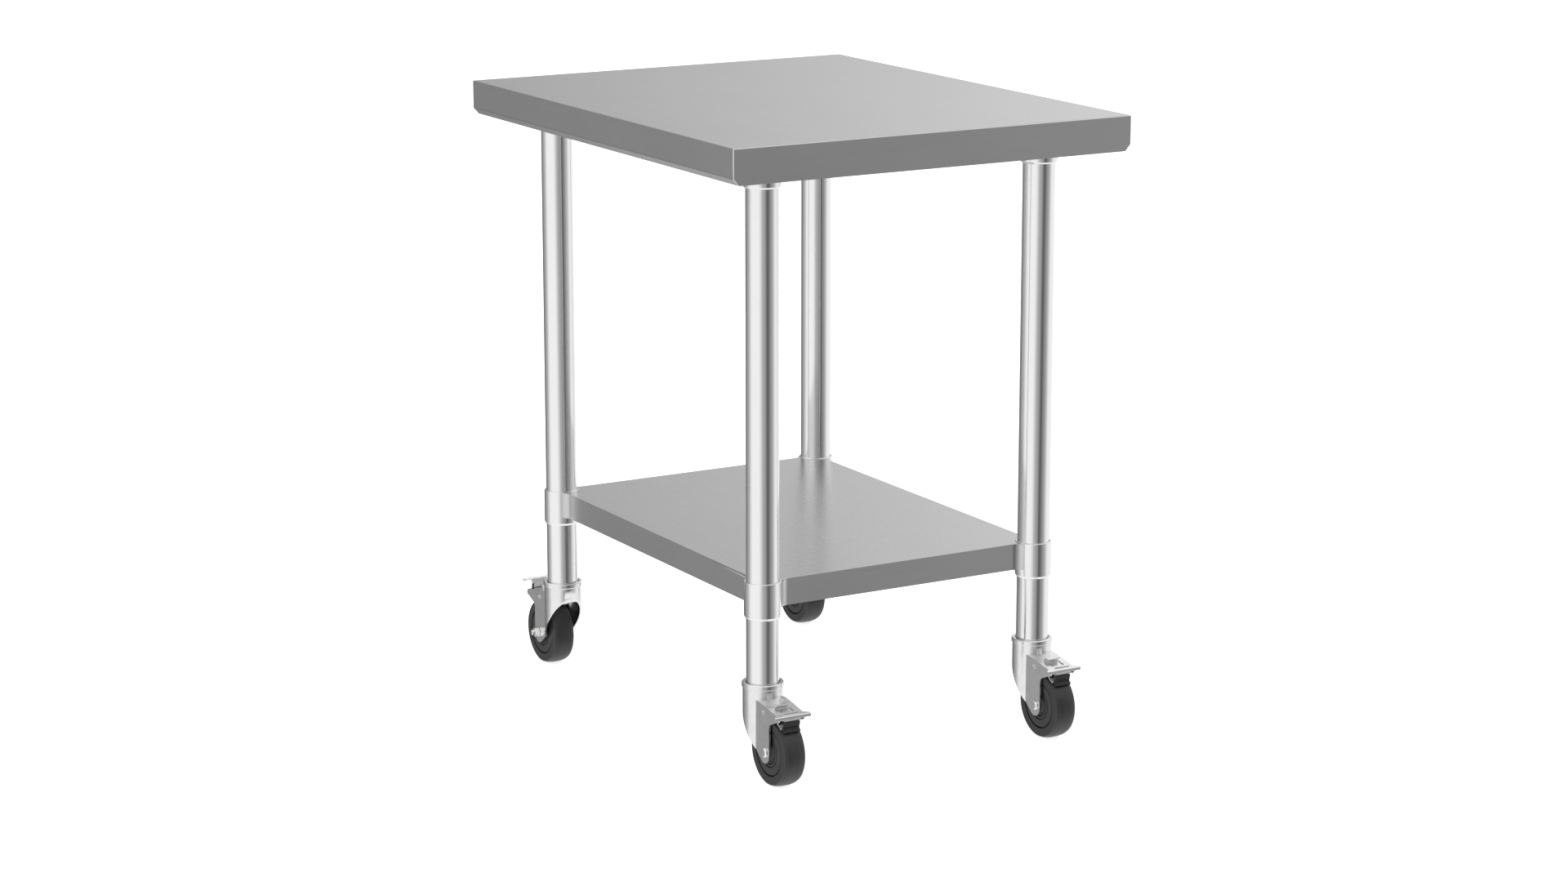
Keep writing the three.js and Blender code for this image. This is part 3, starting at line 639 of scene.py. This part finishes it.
def worktop():
    piece = block("worktop shell", top_low, top_high)
    for side in (-1, 1):
        bpy.ops.mesh.select_all(action="SELECT")
        bpy.ops.mesh.bisect(
            plane_co=(0, side * top_high.y, top_low.z + BEVEL_UP),
            plane_no=Vector((0, side * BEVEL_UP, -BEVEL_IN)).normalized(),
            use_fill=True, clear_outer=True)
    tidy_shell()
    pick("FACE", lambda at, way: way.z < -0.99)
    bpy.ops.mesh.delete(type="FACE")
    half_y, half_x = top_high.y - 0.1, top_high.x - 0.1
    round_edges(lambda at, way: abs(way.x) > 0.9 and abs(at.y) > half_y and at.z > top_high.z - 0.1,
                EDGE_RADIUS, 5)
    round_edges(lambda at, way: abs(at.x) > half_x and at.z > top_low.z + 0.5, CORNER_ROUND, 3)
    bevel_top = top_low.z + BEVEL_UP + 0.1
    round_edges(lambda at, way: abs(way.x) > 0.9 and abs(at.y) > half_y and at.z < bevel_top,
                BEVEL_ROUND, 3)
    thicken(piece, TOP_SHEET)
    shade(piece)
    piece.data.materials.append(SHEET_ALONG)
    piece.data.materials.append(SHEET_UPRIGHT)
    for face in piece.data.polygons:
        face.material_index = 1 if abs(face.normal.x) > 0.7 else 0
    return piece


def channel():
    """A hat section in the frame of its own leg line."""
    crown = CROWN_HALF
    brim = (channel_high.x - channel_low.x) / 2
    top, low, wall = channel_high.z, channel_low.z, CHANNEL_SHEET
    inner, outer = CHANNEL_BEND, CHANNEL_BEND + wall
    outline = rounded([
        (-brim, top, 0.4), (-brim, top - wall, 0.4), (-crown, top - wall, inner), (-crown, low, outer),
        (crown, low, outer), (crown, top - wall, inner), (brim, top - wall, 0.4), (brim, top, 0.4),
        (crown - wall, top, outer), (crown - wall, low + wall, inner),
        (wall - crown, low + wall, inner), (wall - crown, top, outer)])
    piece = across("channel", outline, (channel_high.y - channel_low.y) / 2)
    shade(piece)
    piece.data.materials.append(GALVANISED)
    return piece


# ---- legs, sockets, collars and their screws ----


def leg():
    bore = LEG_RADIUS - LEG_WALL
    outline = rounded([
        (bore, leg_low.z, 0.4), (LEG_RADIUS, leg_low.z, 0.4),
        (LEG_RADIUS, leg_high.z, 0.4), (bore, leg_high.z, 0.4)])
    piece = turned("leg", outline, FINE)
    shade(piece)
    piece.data.materials.append(TUBE)
    return piece


def screw_hole(height):
    """A hole from a tube's axis out along -X."""
    hole = plain_rod(SCREW_HOLE, 0, 60, SMALL)
    take(hole)
    bpy.ops.object.mode_set(mode="OBJECT")
    hole.data.transform(Matrix.Translation((0, 0, height)) @ Matrix.Rotation(-QUARTER, 4, "Y"))
    return hole


def socket(screw_height):
    """A leg socket in its leg's frame, with its screw hole along -X."""
    radius = SOCKET_RADIUS
    bore = LEG_RADIUS + TUBE_FIT
    plate_low = socket_high.z - SOCKET_PLATE
    half = (socket_high.x - socket_low.x) / 2
    piece = turned("socket", rounded([
        (bore, socket_low.z, 0.3), (radius - 1.4, socket_low.z, 0.8), (radius, socket_low.z + 2.2, 1.6),
        (radius, plate_low - 2, 2.5), (radius + 3, plate_low + 0.8, 0), (bore, plate_low + 0.8, 0)]), FINE)
    cut(piece, screw_hole(screw_height))
    flatten(piece)
    turn = Matrix.Rotation(math.radians(45), 2)
    corners = [turn @ Vector((a * half, b * half)) for a, b in ((-1, -1), (1, -1), (1, 1), (-1, 1))]
    plate = upright("socket plate", rounded([(*c, 8) for c in corners]), plate_low, socket_high.z)
    ease(plate, 0.4)
    join(piece, plate)
    shade(piece)
    piece.data.materials.append(TUBE)
    return piece


def collar(screw_height):
    bore = LEG_RADIUS + TUBE_FIT
    snug = COLLAR_SNUG
    low, high = collar_low.z, collar_high.z
    piece = turned("collar", rounded([
        (snug, low, 0), (COLLAR_RADIUS - 1.8, low, 0.8), (COLLAR_RADIUS, low + 3.2, 2.4),
        (COLLAR_RADIUS, high, 0.9), (bore, high, 0.5), (bore, high - 4, 0), (snug, high - 5, 0)]), FINE)
    cut(piece, screw_hole(screw_height))
    flatten(piece)
    shade(piece)
    piece.data.materials.append(TUBE)
    return piece


def grub_screw(seat, height):
    """A screw that points at the leg along X, with its head outside a tube of the given radius."""
    tip = LEG_RADIUS + FIT
    head = seat + FIT
    piece = turned("screw", rounded([
        (0, tip, 0), (3, tip, 0), (4, tip + 1, 0), (4, head, 0), (6.5, head, 0.3),
        (6.5, head + 5, 0.8), (0, head + 5, 0)]), 48)
    recess = turned("recess", [(0, head + 2.2), (2.9, head + 2.2), (2.9, head + 6), (0, head + 6)], 6)
    cut(piece, recess)
    flatten(piece)
    shade(piece, 30)
    piece.data.materials.append(BRIGHT_ZINC)
    piece.data.transform(Matrix.Translation((0, 0, height)) @ Matrix.Rotation(-QUARTER, 4, "Y"))
    return piece


# ---- undershelf ----


def flare(sign_x, sign_y):
    """The shelf's plan round one collar: in along the end, round inside the collar, out along the side."""
    middle = Vector((sign_x * LEG_X, sign_y * LEG_Y))
    notch = COLLAR_RADIUS + FIT
    past = shelf_high.x - LEG_X
    reach = notch + FLARE_RADIUS
    rise = past + FLARE_RADIUS
    back = math.sqrt(reach * reach - rise * rise)
    lean = math.degrees(math.atan2(rise, back))
    end = arc(rise, -back, FLARE_RADIUS, 180, 90 + lean, 5)
    inside = arc(0, 0, notch, lean - 90, -180 - lean, 36)
    side = arc(-back, rise, FLARE_RADIUS, -lean, -90, 5)
    points = end + inside[1:-1] + side
    placed = [middle + Vector((sign_x * a, sign_y * b)) for a, b in points]
    return placed if sign_x * sign_y > 0 else placed[::-1]


def undershelf():
    """Drawn in plan, pushed down to its skirts, and opened inside each collar."""
    plan = flare(1, 1) + flare(-1, 1) + flare(-1, -1) + flare(1, -1)
    piece = upright("undershelf shell", plan, shelf_low.z, shelf_high.z)
    edit(piece)

    def by_collar(at, within):
        return math.hypot(abs(at.x) - LEG_X, abs(at.y) - LEG_Y) < within

    pick("FACE", lambda at, way: way.z < -0.99)
    bpy.ops.mesh.delete(type="FACE")
    notch = COLLAR_RADIUS + FIT + 0.2
    pick("FACE", lambda at, way: abs(way.z) < 0.1 and by_collar(at, notch))
    bpy.ops.mesh.delete(type="FACE")
    round_edges(lambda at, way: at.z > shelf_high.z - 0.1 and not by_collar(at, notch), SHELF_EDGE_RADIUS, 5)
    rest()
    thicken(piece, SHELF_SHEET)
    shade(piece)
    piece.data.materials.append(SHEET_ALONG)
    piece.data.materials.append(SHEET_UPRIGHT)
    for face in piece.data.polygons:
        face.material_index = 1 if abs(face.normal.x) > 0.7 else 0
    return piece


# ---- caster stem, fork, wheel and brake, in the frame of their leg, trailing towards +X ----


def stem():
    flange_top = leg_low.z - FIT
    plug = LEG_RADIUS - LEG_WALL - TUBE_FIT
    race = FLOOR_HIGH + TUBE_FIT
    head_top = FLOOR_LOW - TUBE_FIT
    piece = turned("stem", rounded([
        (0, stem_low.z, 0), (9.5, stem_low.z, 1.4), (9.5, head_top, 0.4), (6, head_top, 0),
        (6, race, 0), (18, race, 1), (18, flange_top - 4.5, 0), (LEG_RADIUS, flange_top - 4.5, 1),
        (LEG_RADIUS, flange_top, 0.6), (plug, flange_top, 0), (plug, stem_high.z, 2.2),
        (0, stem_high.z, 0)]), ROUND)
    shade(piece)
    piece.data.materials.append(BRIGHT_ZINC)
    return piece


def cheek_outline():
    """The side of the fork: down to the axle lug, up to the curled nose and back along the top."""
    nose_x, nose_z = PLATE_FRONT[0], PLATE_FRONT[1] - NOSE_DOWN
    throat = [Vector(p) for p in rounded([
        (LUG_X + LUG_RADIUS, LUG_Z, 0), (LUG_X + LUG_RADIUS, WHEEL_RADIUS + 40, 7),
        (nose_x - 1, nose_z - NOSE_RADIUS + 0.4, 0), (LUG_X - 60, WHEEL_RADIUS, 0)])][:-1]
    return (
        [Vector((0, LUG_Z))]
        + arc(LUG_X, LUG_Z, LUG_RADIUS, 215, 360, 24)
        + throat[1:]
        + arc(nose_x, nose_z, NOSE_RADIUS, -72, 78, 10)
        + [Vector(p) for p in (PLATE_FRONT, PLATE_BEND, (SLEEVE_RADIUS, PLATE_REAR[1]), PLATE_REAR)]
    )


def fork():
    cheeks = across("fork", cheek_outline(), CHEEK_OUTER)
    edit(cheeks)
    round_edges(lambda at, way: (abs(way.y) < 0.1 and abs(at.y) > CHEEK_OUTER - 0.1
                                 and at.z > PLATE_FRONT[1] - 1.5 and at.x > 1), CHEEK_BEND, 5)
    rest()
    ring_low = SLEEVE_TOP - RING_HEIGHT
    sleeve = turned("sleeve", rounded([
        (0, 10, 0), (SLEEVE_RADIUS, 10, 0), (SLEEVE_RADIUS, ring_low, 1.0),
        (RING_RADIUS, ring_low + 0.9, 0.8), (RING_RADIUS, SLEEVE_TOP, 1.8), (RING_BORE, SLEEVE_TOP, 0.6),
        (RING_BORE, SLEEVE_TOP - RING_LIP, 0), (0, SLEEVE_TOP - RING_LIP, 0)]), FINE)
    bore = SLEEVE_RADIUS - SLEEVE_WALL
    far = 200
    well = across("well", [
        Vector(p) for p in (
            (0, 0), (far, 0), (far, far), (PLATE_FRONT[0], far),
            (PLATE_FRONT[0], PLATE_FRONT[1] - PLATE_SHEET), (PLATE_BEND[0], PLATE_BEND[1] - PLATE_SHEET),
            (SLEEVE_RADIUS, PLATE_REAR[1] - PLATE_SHEET), (SLEEVE_RADIUS, FLOOR_LOW), (0, FLOOR_LOW))],
        CHEEK_INNER)
    angle = math.radians(231)
    tangent = (LUG_X + LUG_RADIUS * math.cos(angle), LUG_Z + LUG_RADIUS * math.sin(angle))
    arch = across("arch", [
        Vector(p) for p in (
            (-SLEEVE_RADIUS - 1, ARCH_TOP), (SLEEVE_RADIUS * 0.63, WHEEL_RADIUS - 1), tangent,
            (tangent[0], -10), (-100, -10), (-100, ARCH_TOP))], 100)
    window = upright("window", rounded([
        (WINDOW_FROM, -WINDOW_HALF, 1.2), (WINDOW_FROM + WINDOW_LENGTH, -WINDOW_HALF, 1.2),
        (WINDOW_FROM + WINDOW_LENGTH, WINDOW_HALF, 1.2), (WINDOW_FROM, WINDOW_HALF, 1.2)]),
        FLOOR_LOW - 4, FLOOR_LOW + 20)
    tab_top = PLATE_BEND[1] + TAB_RISE
    tab = across("tab", rounded([
        (WINDOW_FROM - 5, PLATE_BEND[1] - 1.5, 0), (WINDOW_FROM - 1, PLATE_BEND[1] - 1.5, 0),
        (WINDOW_FROM + 0.4, tab_top - 1.8, 1), (WINDOW_FROM + 5, tab_top - 2.3, 0.3),
        (WINDOW_FROM + 5, tab_top - 0.7, 0.7), (WINDOW_FROM - 2.6, tab_top, 2.2)]), WINDOW_HALF - 0.5)
    slope = (PLATE_FRONT[1] - PLATE_BEND[1]) / (PLATE_FRONT[0] - PLATE_BEND[0])
    rear, front = WINDOW_FROM - 1, WINDOW_FROM + WINDOW_LENGTH + 1
    at_rear, at_front = (PLATE_BEND[1] + slope * (x - PLATE_BEND[0]) for x in (rear, front))
    catch = across("catch", [
        Vector((rear, at_rear - 2.3)), Vector((front, at_front - 2.3)),
        Vector((front, at_front - 1.5)), Vector((rear, at_rear - 1.5))], WINDOW_HALF + 1)
    gap_rear, gap_front = WINDOW_FROM + WINDOW_LENGTH - 2.6, WINDOW_FROM + WINDOW_LENGTH + 2
    for side in (-1, 1):
        inner, outer = side * WINDOW_HALF - 1.8, side * WINDOW_HALF + 1.8
        cut(catch, upright("gap", rounded([
            (gap_rear, inner, 0.6), (gap_front, inner, 0), (gap_front, outer, 0), (gap_rear, outer, 0.6)]),
            FLOOR_LOW - 4, FLOOR_LOW + 20))
    join(sleeve, cheeks)
    cut(sleeve, plain_rod(bore, -1, FLOOR_LOW, FINE), plain_rod(bore, FLOOR_HIGH, SLEEVE_TOP - 4, FINE),
        plain_rod(RING_BORE, SLEEVE_TOP - 5, SLEEVE_TOP + 2, FINE), well, arch, window)
    join(sleeve, tab, catch)
    cut(sleeve, plain_rod(PIN_HOLE, FLOOR_LOW - 1, FLOOR_HIGH + 1, SMALL),
        plain_rod(AXLE_RADIUS + FIT, -60, 60, SMALL, "Y", (TRAIL, 0, WHEEL_RADIUS)),
        plain_rod(PIVOT_RADIUS + FIT, -60, 60, SMALL, "Y", (PIVOT_X, 0, PIVOT_Z)))
    flatten(sleeve)
    ease(sleeve, 0.45, 2, 40)
    shade(sleeve, 40)
    sleeve.data.materials.append(ZINC)
    return sleeve


def mirrored(side):
    """A closed outline from its -Y half, by the same points the other way round."""
    return side + [(r, -h, c) for r, h, c in reversed(side)]


def tyre():
    half, bore, radius = TYRE_HALF, 33.5, WHEEL_RADIUS
    side = [
        (bore, 0.2 - half, 0.5), (bore + 1.2, -half, 0.5),
        (radius - 4.0, -half, 1.5), (radius - 2.6, 0.5 - half, 1.2), (radius - 0.9, 4.6 - half, 4.2),
        (radius, -half / 3, 9)]
    piece = turned("tyre", rounded(mirrored(side)), FINE, "Y", (TRAIL, 0, WHEEL_RADIUS))
    shade(piece)
    piece.data.materials.append(TYRE_RUBBER)
    return piece


def hub():
    bore, half, face = AXLE_RADIUS + TUBE_FIT, HUB_HALF, TYRE_HALF - 0.7
    side = [
        (bore, -half, 0.3), (10.5, -half, 0.8), (12, 0.7 - face, 0.8), (15.4, 0.7 - face, 0.4),
        (15.7, 2.4 - face, 0.3), (16.9, 2.4 - face, 0.3), (17.2, 0.4 - face, 0.5), (19.8, 0.4 - face, 0.5),
        (20.1, 2.6 - face, 0.3), (21.5, 2.6 - face, 0.3), (21.8, 0.2 - face, 0.5), (31.4, -face, 0.7),
        (31.7, 3.4 - face, 0.3), (33.2, 3.4 - face, 0.3)]
    piece = turned("hub", rounded(mirrored(side)), FINE, "Y", (TRAIL, 0, WHEEL_RADIUS))
    shade(piece)
    piece.data.materials.append(HUB_PLASTIC)
    return piece


def axle_bolt():
    low = bolt_low.y + LEG_Y
    high = bolt_high.y + LEG_Y
    under_head = -CHEEK_OUTER - FIT
    piece = turned("axle bolt", rounded([
        (0, low, 0), (5.2, low + 0.25, 1.2), (6.5, low + 1.6, 0.8), (6.5, under_head, 0.2),
        (AXLE_RADIUS, under_head, 0), (AXLE_RADIUS, high - 1, 0.2), (3, high, 0.2), (0, high, 0)]),
        48, "Y", (TRAIL, 0, WHEEL_RADIUS))
    slot_low = Vector((TRAIL - 0.8, low - 1, WHEEL_RADIUS - 9))
    slot_high = Vector((TRAIL + 0.8, low + 1.1, WHEEL_RADIUS + 9))
    slot = block("slot", slot_low, slot_high)
    rest()
    cut(piece, slot)
    flatten(piece)
    shade(piece, 35)
    piece.data.materials.append(BRIGHT_ZINC)
    return piece


def axle_nut():
    low, high = nut_low.y + LEG_Y, nut_high.y + LEG_Y
    corner = (nut_high.z - nut_low.z) / 2
    middle = (TRAIL, 0, WHEEL_RADIUS)
    piece = turned("axle nut", [(0, low), (corner, low), (corner, high), (0, high)], 6, "Y", middle)
    cone = turned("cone", [
        (0, low - 1), (corner + 3, low - 1), (corner + 3, high - 3.1), (corner - 1.6, high + 0.01),
        (0, high + 0.01)], 48, "Y", middle)
    work(piece, cone, "INTERSECT")
    cut(piece, plain_rod(AXLE_RADIUS + FIT, low - 5, high + 5, SMALL, "Y", middle))
    flatten(piece)
    ease(piece, 0.2, 1)
    shade(piece, 30)
    piece.data.materials.append(BRIGHT_ZINC)
    return piece


def pivot_pin():
    head = CHEEK_OUTER + FIT
    end = pivot_high.y + LEG_Y
    side = [(0, 0.35 - end, 0), (1.3, 0.35 - end, 0.3), (2.0, -end, 0.3), (3.5, 0.15 - end, 0.3),
            (3.5, -head, 0.1), (PIVOT_RADIUS, -head, 0)]
    piece = turned("brake pivot", rounded(mirrored(side)), SMALL, "Y", (PIVOT_X, 0, PIVOT_Z))
    shade(piece, 35)
    piece.data.materials.append(BRIGHT_ZINC)
    return piece


def band(name, centre, inner, outer, start, end, half):
    """A curved strap between two radii about a centre in X and Z."""
    steps = max(3, math.ceil((end - start) / 3))
    outline = arc(*centre, outer, start, end, steps) + arc(*centre, inner, end, start, steps)
    return across(name, outline, half)


def pedal():
    wheel, pivot = (TRAIL, WHEEL_RADIUS), (PIVOT_X, PIVOT_Z)
    reach = math.dist(PLATE_FRONT, pivot) + PEDAL_GAP
    bar_top = PLATE_FRONT[1] + BAR_RISE
    bar_rear = PIVOT_X + reach
    bar_front = bar_rear + BAR_LENGTH
    bar = across("bar", rounded([
        (bar_rear, bar_top - PEDAL_SHEET, 0), (bar_front - 2.4, bar_top - PEDAL_SHEET - 0.6, 1.2),
        (bar_front - 1.9, bar_top - BAR_LIP, 0.8), (bar_front, bar_top - BAR_LIP, 0.8),
        (bar_front, bar_top - 0.9, 2.6), (bar_rear, bar_top, 0.6)]), BAR_HALF)
    taper_length, taper_width = BAR_TAPER
    taper_from = BAR_HALF - taper_width
    for side in (-1, 1):
        cut(bar, upright("corner", rounded([
            (bar_rear - 1, side * taper_from, 0), (bar_rear, side * taper_from, 0),
            (bar_rear + taper_length, side * BAR_HALF, 2),
            (bar_rear + taper_length, side * (BAR_HALF + 1), 0),
            (bar_rear - 1, side * (BAR_HALF + 1), 0)]), bar_top - 12, bar_top + 4))
    edit(bar)
    round_edges(lambda at, way: abs(way.y) < 0.1 and abs(at.y) > BAR_HALF - 0.1 and at.x > bar_front - 3.5,
                1.6, 3)
    rest()
    boss = plain_rod(PEDAL_BOSS, -PEDAL_HALF, PEDAL_HALF, SMALL, "Y", (PIVOT_X, 0, PIVOT_Z))
    join(boss, band("arm", wheel, TREAD_CLEAR, TREAD_CLEAR + PEDAL_SHEET, *ARM_ANGLES, PEDAL_HALF),
         band("neck", pivot, reach, reach + PEDAL_SHEET, *NECK_ANGLES, PEDAL_NECK_HALF), bar)
    for y in (1 - PEDAL_HALF, PEDAL_HALF - 1):
        gusset = across("gusset", [
            Vector((bar_rear + 0.6, bar_top - 1)), Vector((bar_front - 1.6, bar_top - 1)),
            Vector((bar_front - 1.9, bar_top - 5)), Vector((bar_rear + 0.3, bar_top - 9))], 1)
        gusset.data.transform(Matrix.Translation((0, y, 0)))
        join(boss, gusset)
    cut(boss, plain_rod(PIVOT_RADIUS + FIT, -60, 60, SMALL, "Y", (PIVOT_X, 0, PIVOT_Z)))
    flatten(boss)
    ease(boss, 0.3, 2, 40)
    shade(boss)
    boss.data.materials.append(ZINC)
    return boss


def shoe():
    """A rubber block over the tread, behind an apron of the same black rubber over the pedal neck's front,
    which is partly the shoe's holder and partly painted shade under the bar.
    """
    wheel, pivot = (TRAIL, WHEEL_RADIUS), (PIVOT_X, PIVOT_Z)
    piece = band("shoe", wheel, TREAD_CLEAR, TREAD_CLEAR + SHOE_THICK, *SHOE_ANGLES, SHOE_HALF)
    reach = math.dist(PLATE_FRONT, pivot) + PEDAL_GAP + PEDAL_SHEET + 0.15
    # the apron darkens the front of the pedal's neck: painted shade where the neck lies under the bar
    join(piece, band("apron", pivot, reach, reach + SHADE_APRON_SHEET, *SHADE_APRON_ANGLES, SHOE_HALF + 0.5))
    for groove in (45, 48.5):
        angle = math.radians(groove)
        at = Vector((TRAIL + TREAD_CLEAR * math.cos(angle), 0, WHEEL_RADIUS + TREAD_CLEAR * math.sin(angle)))
        cut(piece, plain_rod(0.7, -SHOE_HALF - 1, SHOE_HALF + 1, 12, "Y", at))
    flatten(piece)
    ease(piece, 0.5, 2, 60)
    shade(piece)
    piece.data.materials.append(SHOE_RUBBER)
    return piece


# ---- putting the pieces in place ----


def place(model, name, node, body, matrix=Matrix.Identity(4)):
    """A copy of a modelled piece with its own mesh, in metres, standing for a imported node."""
    mesh = model.data.copy()
    mesh.name = name
    mesh.transform(Matrix.Scale(MM, 4) @ matrix)
    piece = bpy.data.objects.new(name, mesh)
    bpy.context.scene.collection.objects.link(piece)
    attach(piece, body)
    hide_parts(node)
    return piece


screw_low, screw_high = extent("socket_screw_front_right")
socket_screw_height = (screw_low.z + screw_high.z) / 2
screw_low, screw_high = extent("collar_screw_front_right")
collar_screw_height = (screw_low.z + screw_high.z) / 2

top_model = worktop()
shelf_model = undershelf()
channel_model = channel()
place(top_model, "worktop_sheet", "worktop", "frame")
place(shelf_model, "undershelf_sheet", "undershelf", "frame")
for side, sign in (("left", -1), ("right", 1)):
    place(channel_model, f"hat_channel_{side}", f"top_channel_{side}", "frame",
          Matrix.Translation((sign * LEG_X, 0, 0)))

post_models = [
    (leg(), "leg_tube", "leg", "polished_tube"),
    (socket(socket_screw_height), "leg_socket", "socket", "polished_tube"),
    (collar(collar_screw_height), "shelf_collar", "collar", "polished_tube"),
    (grub_screw(SOCKET_RADIUS, socket_screw_height), "socket_grub_screw", "socket_screw", "zinc_plate"),
    (grub_screw(COLLAR_RADIUS, collar_screw_height), "collar_grub_screw", "collar_screw", "zinc_plate"),
]
caster_models = [
    (stem(), "stem_and_kingpin", "caster_stem", "frame", "zinc_plate"),
    (fork(), "fork_pressing", "caster_fork", "fork", "zinc_plate"),
    (tyre(), "rubber_tyre", "tyre", "wheel", "tyre_rubber"),
    (hub(), "hub_moulding", "wheel_hub", "wheel", "hub_plastic"),
    (axle_bolt(), "slotted_axle_bolt", "axle_bolt", "fork", "zinc_plate"),
    (axle_nut(), "hex_axle_nut", "axle_nut", "fork", "zinc_plate"),
    (pivot_pin(), "pedal_pivot_rivet", "brake_pivot", "fork", "zinc_plate"),
]
brake_models = [
    (pedal(), "pedal_pressing", "brake_pedal", "zinc_plate"),
    # each shoe also carries the black apron of painted shade over its pedal's neck
    (shoe(), "brake_shoe_and_shade_apron", "brake_shoe", "shoe_rubber"),
]

for corner, (sign_x, sign_y) in CORNERS.items():
    stand = Matrix.Translation((sign_x * LEG_X, sign_y * LEG_Y, 0))
    inward = stand @ Matrix.Rotation(math.atan2(sign_y, sign_x), 4, "Z")
    for model, name, node, slot in post_models:
        place(model, f"{name}_{corner}", f"{node}_{corner}", "frame", inward)
    caster = stand if sign_x > 0 else stand @ Matrix.Rotation(math.pi, 4, "Z")
    for model, name, node, body, slot in caster_models:
        rides = body if body == "frame" else f"{body}_{corner}"
        place(model, f"{name}_{corner}", f"{node}_{corner}", rides, caster)
    tilt = -PEDAL_UP if corner == "front_left" else 0
    hinge = Vector((PIVOT_X, 0, PIVOT_Z))
    lifted = caster @ Matrix.Translation(hinge) @ Matrix.Rotation(tilt, 4, "Y") @ Matrix.Translation(-hinge)
    for model, name, node, slot in brake_models:
        place(model, f"{name}_{corner}", f"{node}_{corner}", f"brake_{corner}", lifted)

models = [top_model, shelf_model, channel_model]
models += [row[0] for row in post_models + caster_models + brake_models]
for model in models:
    bpy.data.objects.remove(model, do_unlink=True)

# ---- floor, light and camera ----


def floor():
    rest()
    bpy.ops.mesh.primitive_plane_add(size=80, location=(0, 0, 0))
    ground = bpy.context.object
    ground.name = "studio_floor"
    material, tree, shader = begin("pale floor")[:3]
    shader.inputs["Base Color"].default_value = (0.9, 0.9, 0.9, 1)
    shader.inputs["Roughness"].default_value = 0.9
    shader.inputs["Specular IOR Level"].default_value = 0.0
    shader.inputs["Emission Color"].default_value = (1, 1, 1, 1)
    shader.inputs["Emission Strength"].default_value = 0.78
    below = tree.nodes.new("ShaderNodeNewGeometry").outputs["Backfacing"]
    clear = tree.nodes.new("ShaderNodeBsdfTransparent")
    mix = tree.nodes.new("ShaderNodeMixShader")
    tree.links.new(below, mix.inputs[0])
    tree.links.new(shader.outputs[0], mix.inputs[1])
    tree.links.new(clear.outputs[0], mix.inputs[2])
    tree.links.new(mix.outputs[0], tree.nodes["Material Output"].inputs["Surface"])
    ground.data.materials.append(material)
    ground.visible_glossy = False
    ground.visible_diffuse = False


# the brightness of the studio walls, by the way they lie from the table in degrees
WALLS = [
    (-180, 0.18), (-166, 0.20), (-151, 0.35), (-140, 0.41), (-126, 0.55), (-113, 0.88), (-100, 0.97),
    (-54, 0.97), (-41, 0.78), (-30, 0.50), (-20, 0.40), (-9, 0.34), (1, 0.13), (12, 0.12), (23, 0.27),
    (37, 0.36), (50, 0.56), (64, 0.88), (80, 0.95), (130, 0.97), (143, 0.92), (150, 0.64), (156, 0.42),
    (168, 0.22), (180, 0.18),
]


def studio_light():
    """A soft white room with pale walls all round and a dark gap past the end of the table."""
    world = bpy.data.worlds.new("soft studio")
    bpy.context.scene.world = world
    world.use_nodes = True
    tree = world.node_tree
    facing = tree.nodes.new("ShaderNodeTexCoord").outputs["Generated"]
    way = add(tree, "ShaderNodeSeparateXYZ", Vector=facing)
    compass = maths(tree, "ARCTAN2", way.outputs["Y"], way.outputs["X"])
    walls = add(tree, "ShaderNodeValToRGB", Fac=spread(tree, compass, 0.0, 1.0, -math.pi, math.pi))
    ramp = walls.color_ramp
    while len(ramp.elements) < len(WALLS):
        ramp.elements.new(0.5)
    for element, (degrees, level) in zip(ramp.elements, WALLS):
        element.position = (degrees + 180) / 360
        element.color = (level, level, level, 1)
    overhead = spread(tree, way.outputs["Z"], 0.0, 1.0, 0.32, 0.75)
    underneath = spread(tree, way.outputs["Z"], 0.0, 1.0, -0.42, -0.75)
    seen = tree.nodes.new("ShaderNodeLightPath").outputs["Is Camera Ray"]
    away = maths(tree, "MAXIMUM", maths(tree, "MAXIMUM", overhead, underneath), seen)
    mix = tree.nodes.new("ShaderNodeMix")
    mix.data_type = "RGBA"
    colours = [s for s in mix.inputs if s.type == "RGBA"]
    tree.links.new(away, mix.inputs[0])
    tree.links.new(walls.outputs["Color"], colours[0])
    colours[1].default_value = (1.0, 1.0, 1.0, 1)
    mixed = [s for s in mix.outputs if s.type == "RGBA"][0]
    background = tree.nodes["Background"]
    tree.links.new(mixed, background.inputs["Color"])
    background.inputs["Strength"].default_value = 1.0


def camera():
    view = bpy.data.cameras.new("camera")
    view.sensor_width = 36
    view.lens = 85.75
    view.clip_end = 200
    stand = bpy.data.objects.new("camera", view)
    bpy.context.scene.collection.objects.link(stand)
    stand.location = (4.44047, -2.57473, 1.55929)
    forward = Vector((-0.84392, 0.48718, -0.22462))
    stand.rotation_euler = forward.to_track_quat("-Z", "Y").to_euler()
    bpy.context.scene.camera = stand


floor()
studio_light()
camera()
bpy.context.scene.view_settings.view_transform = "Standard"
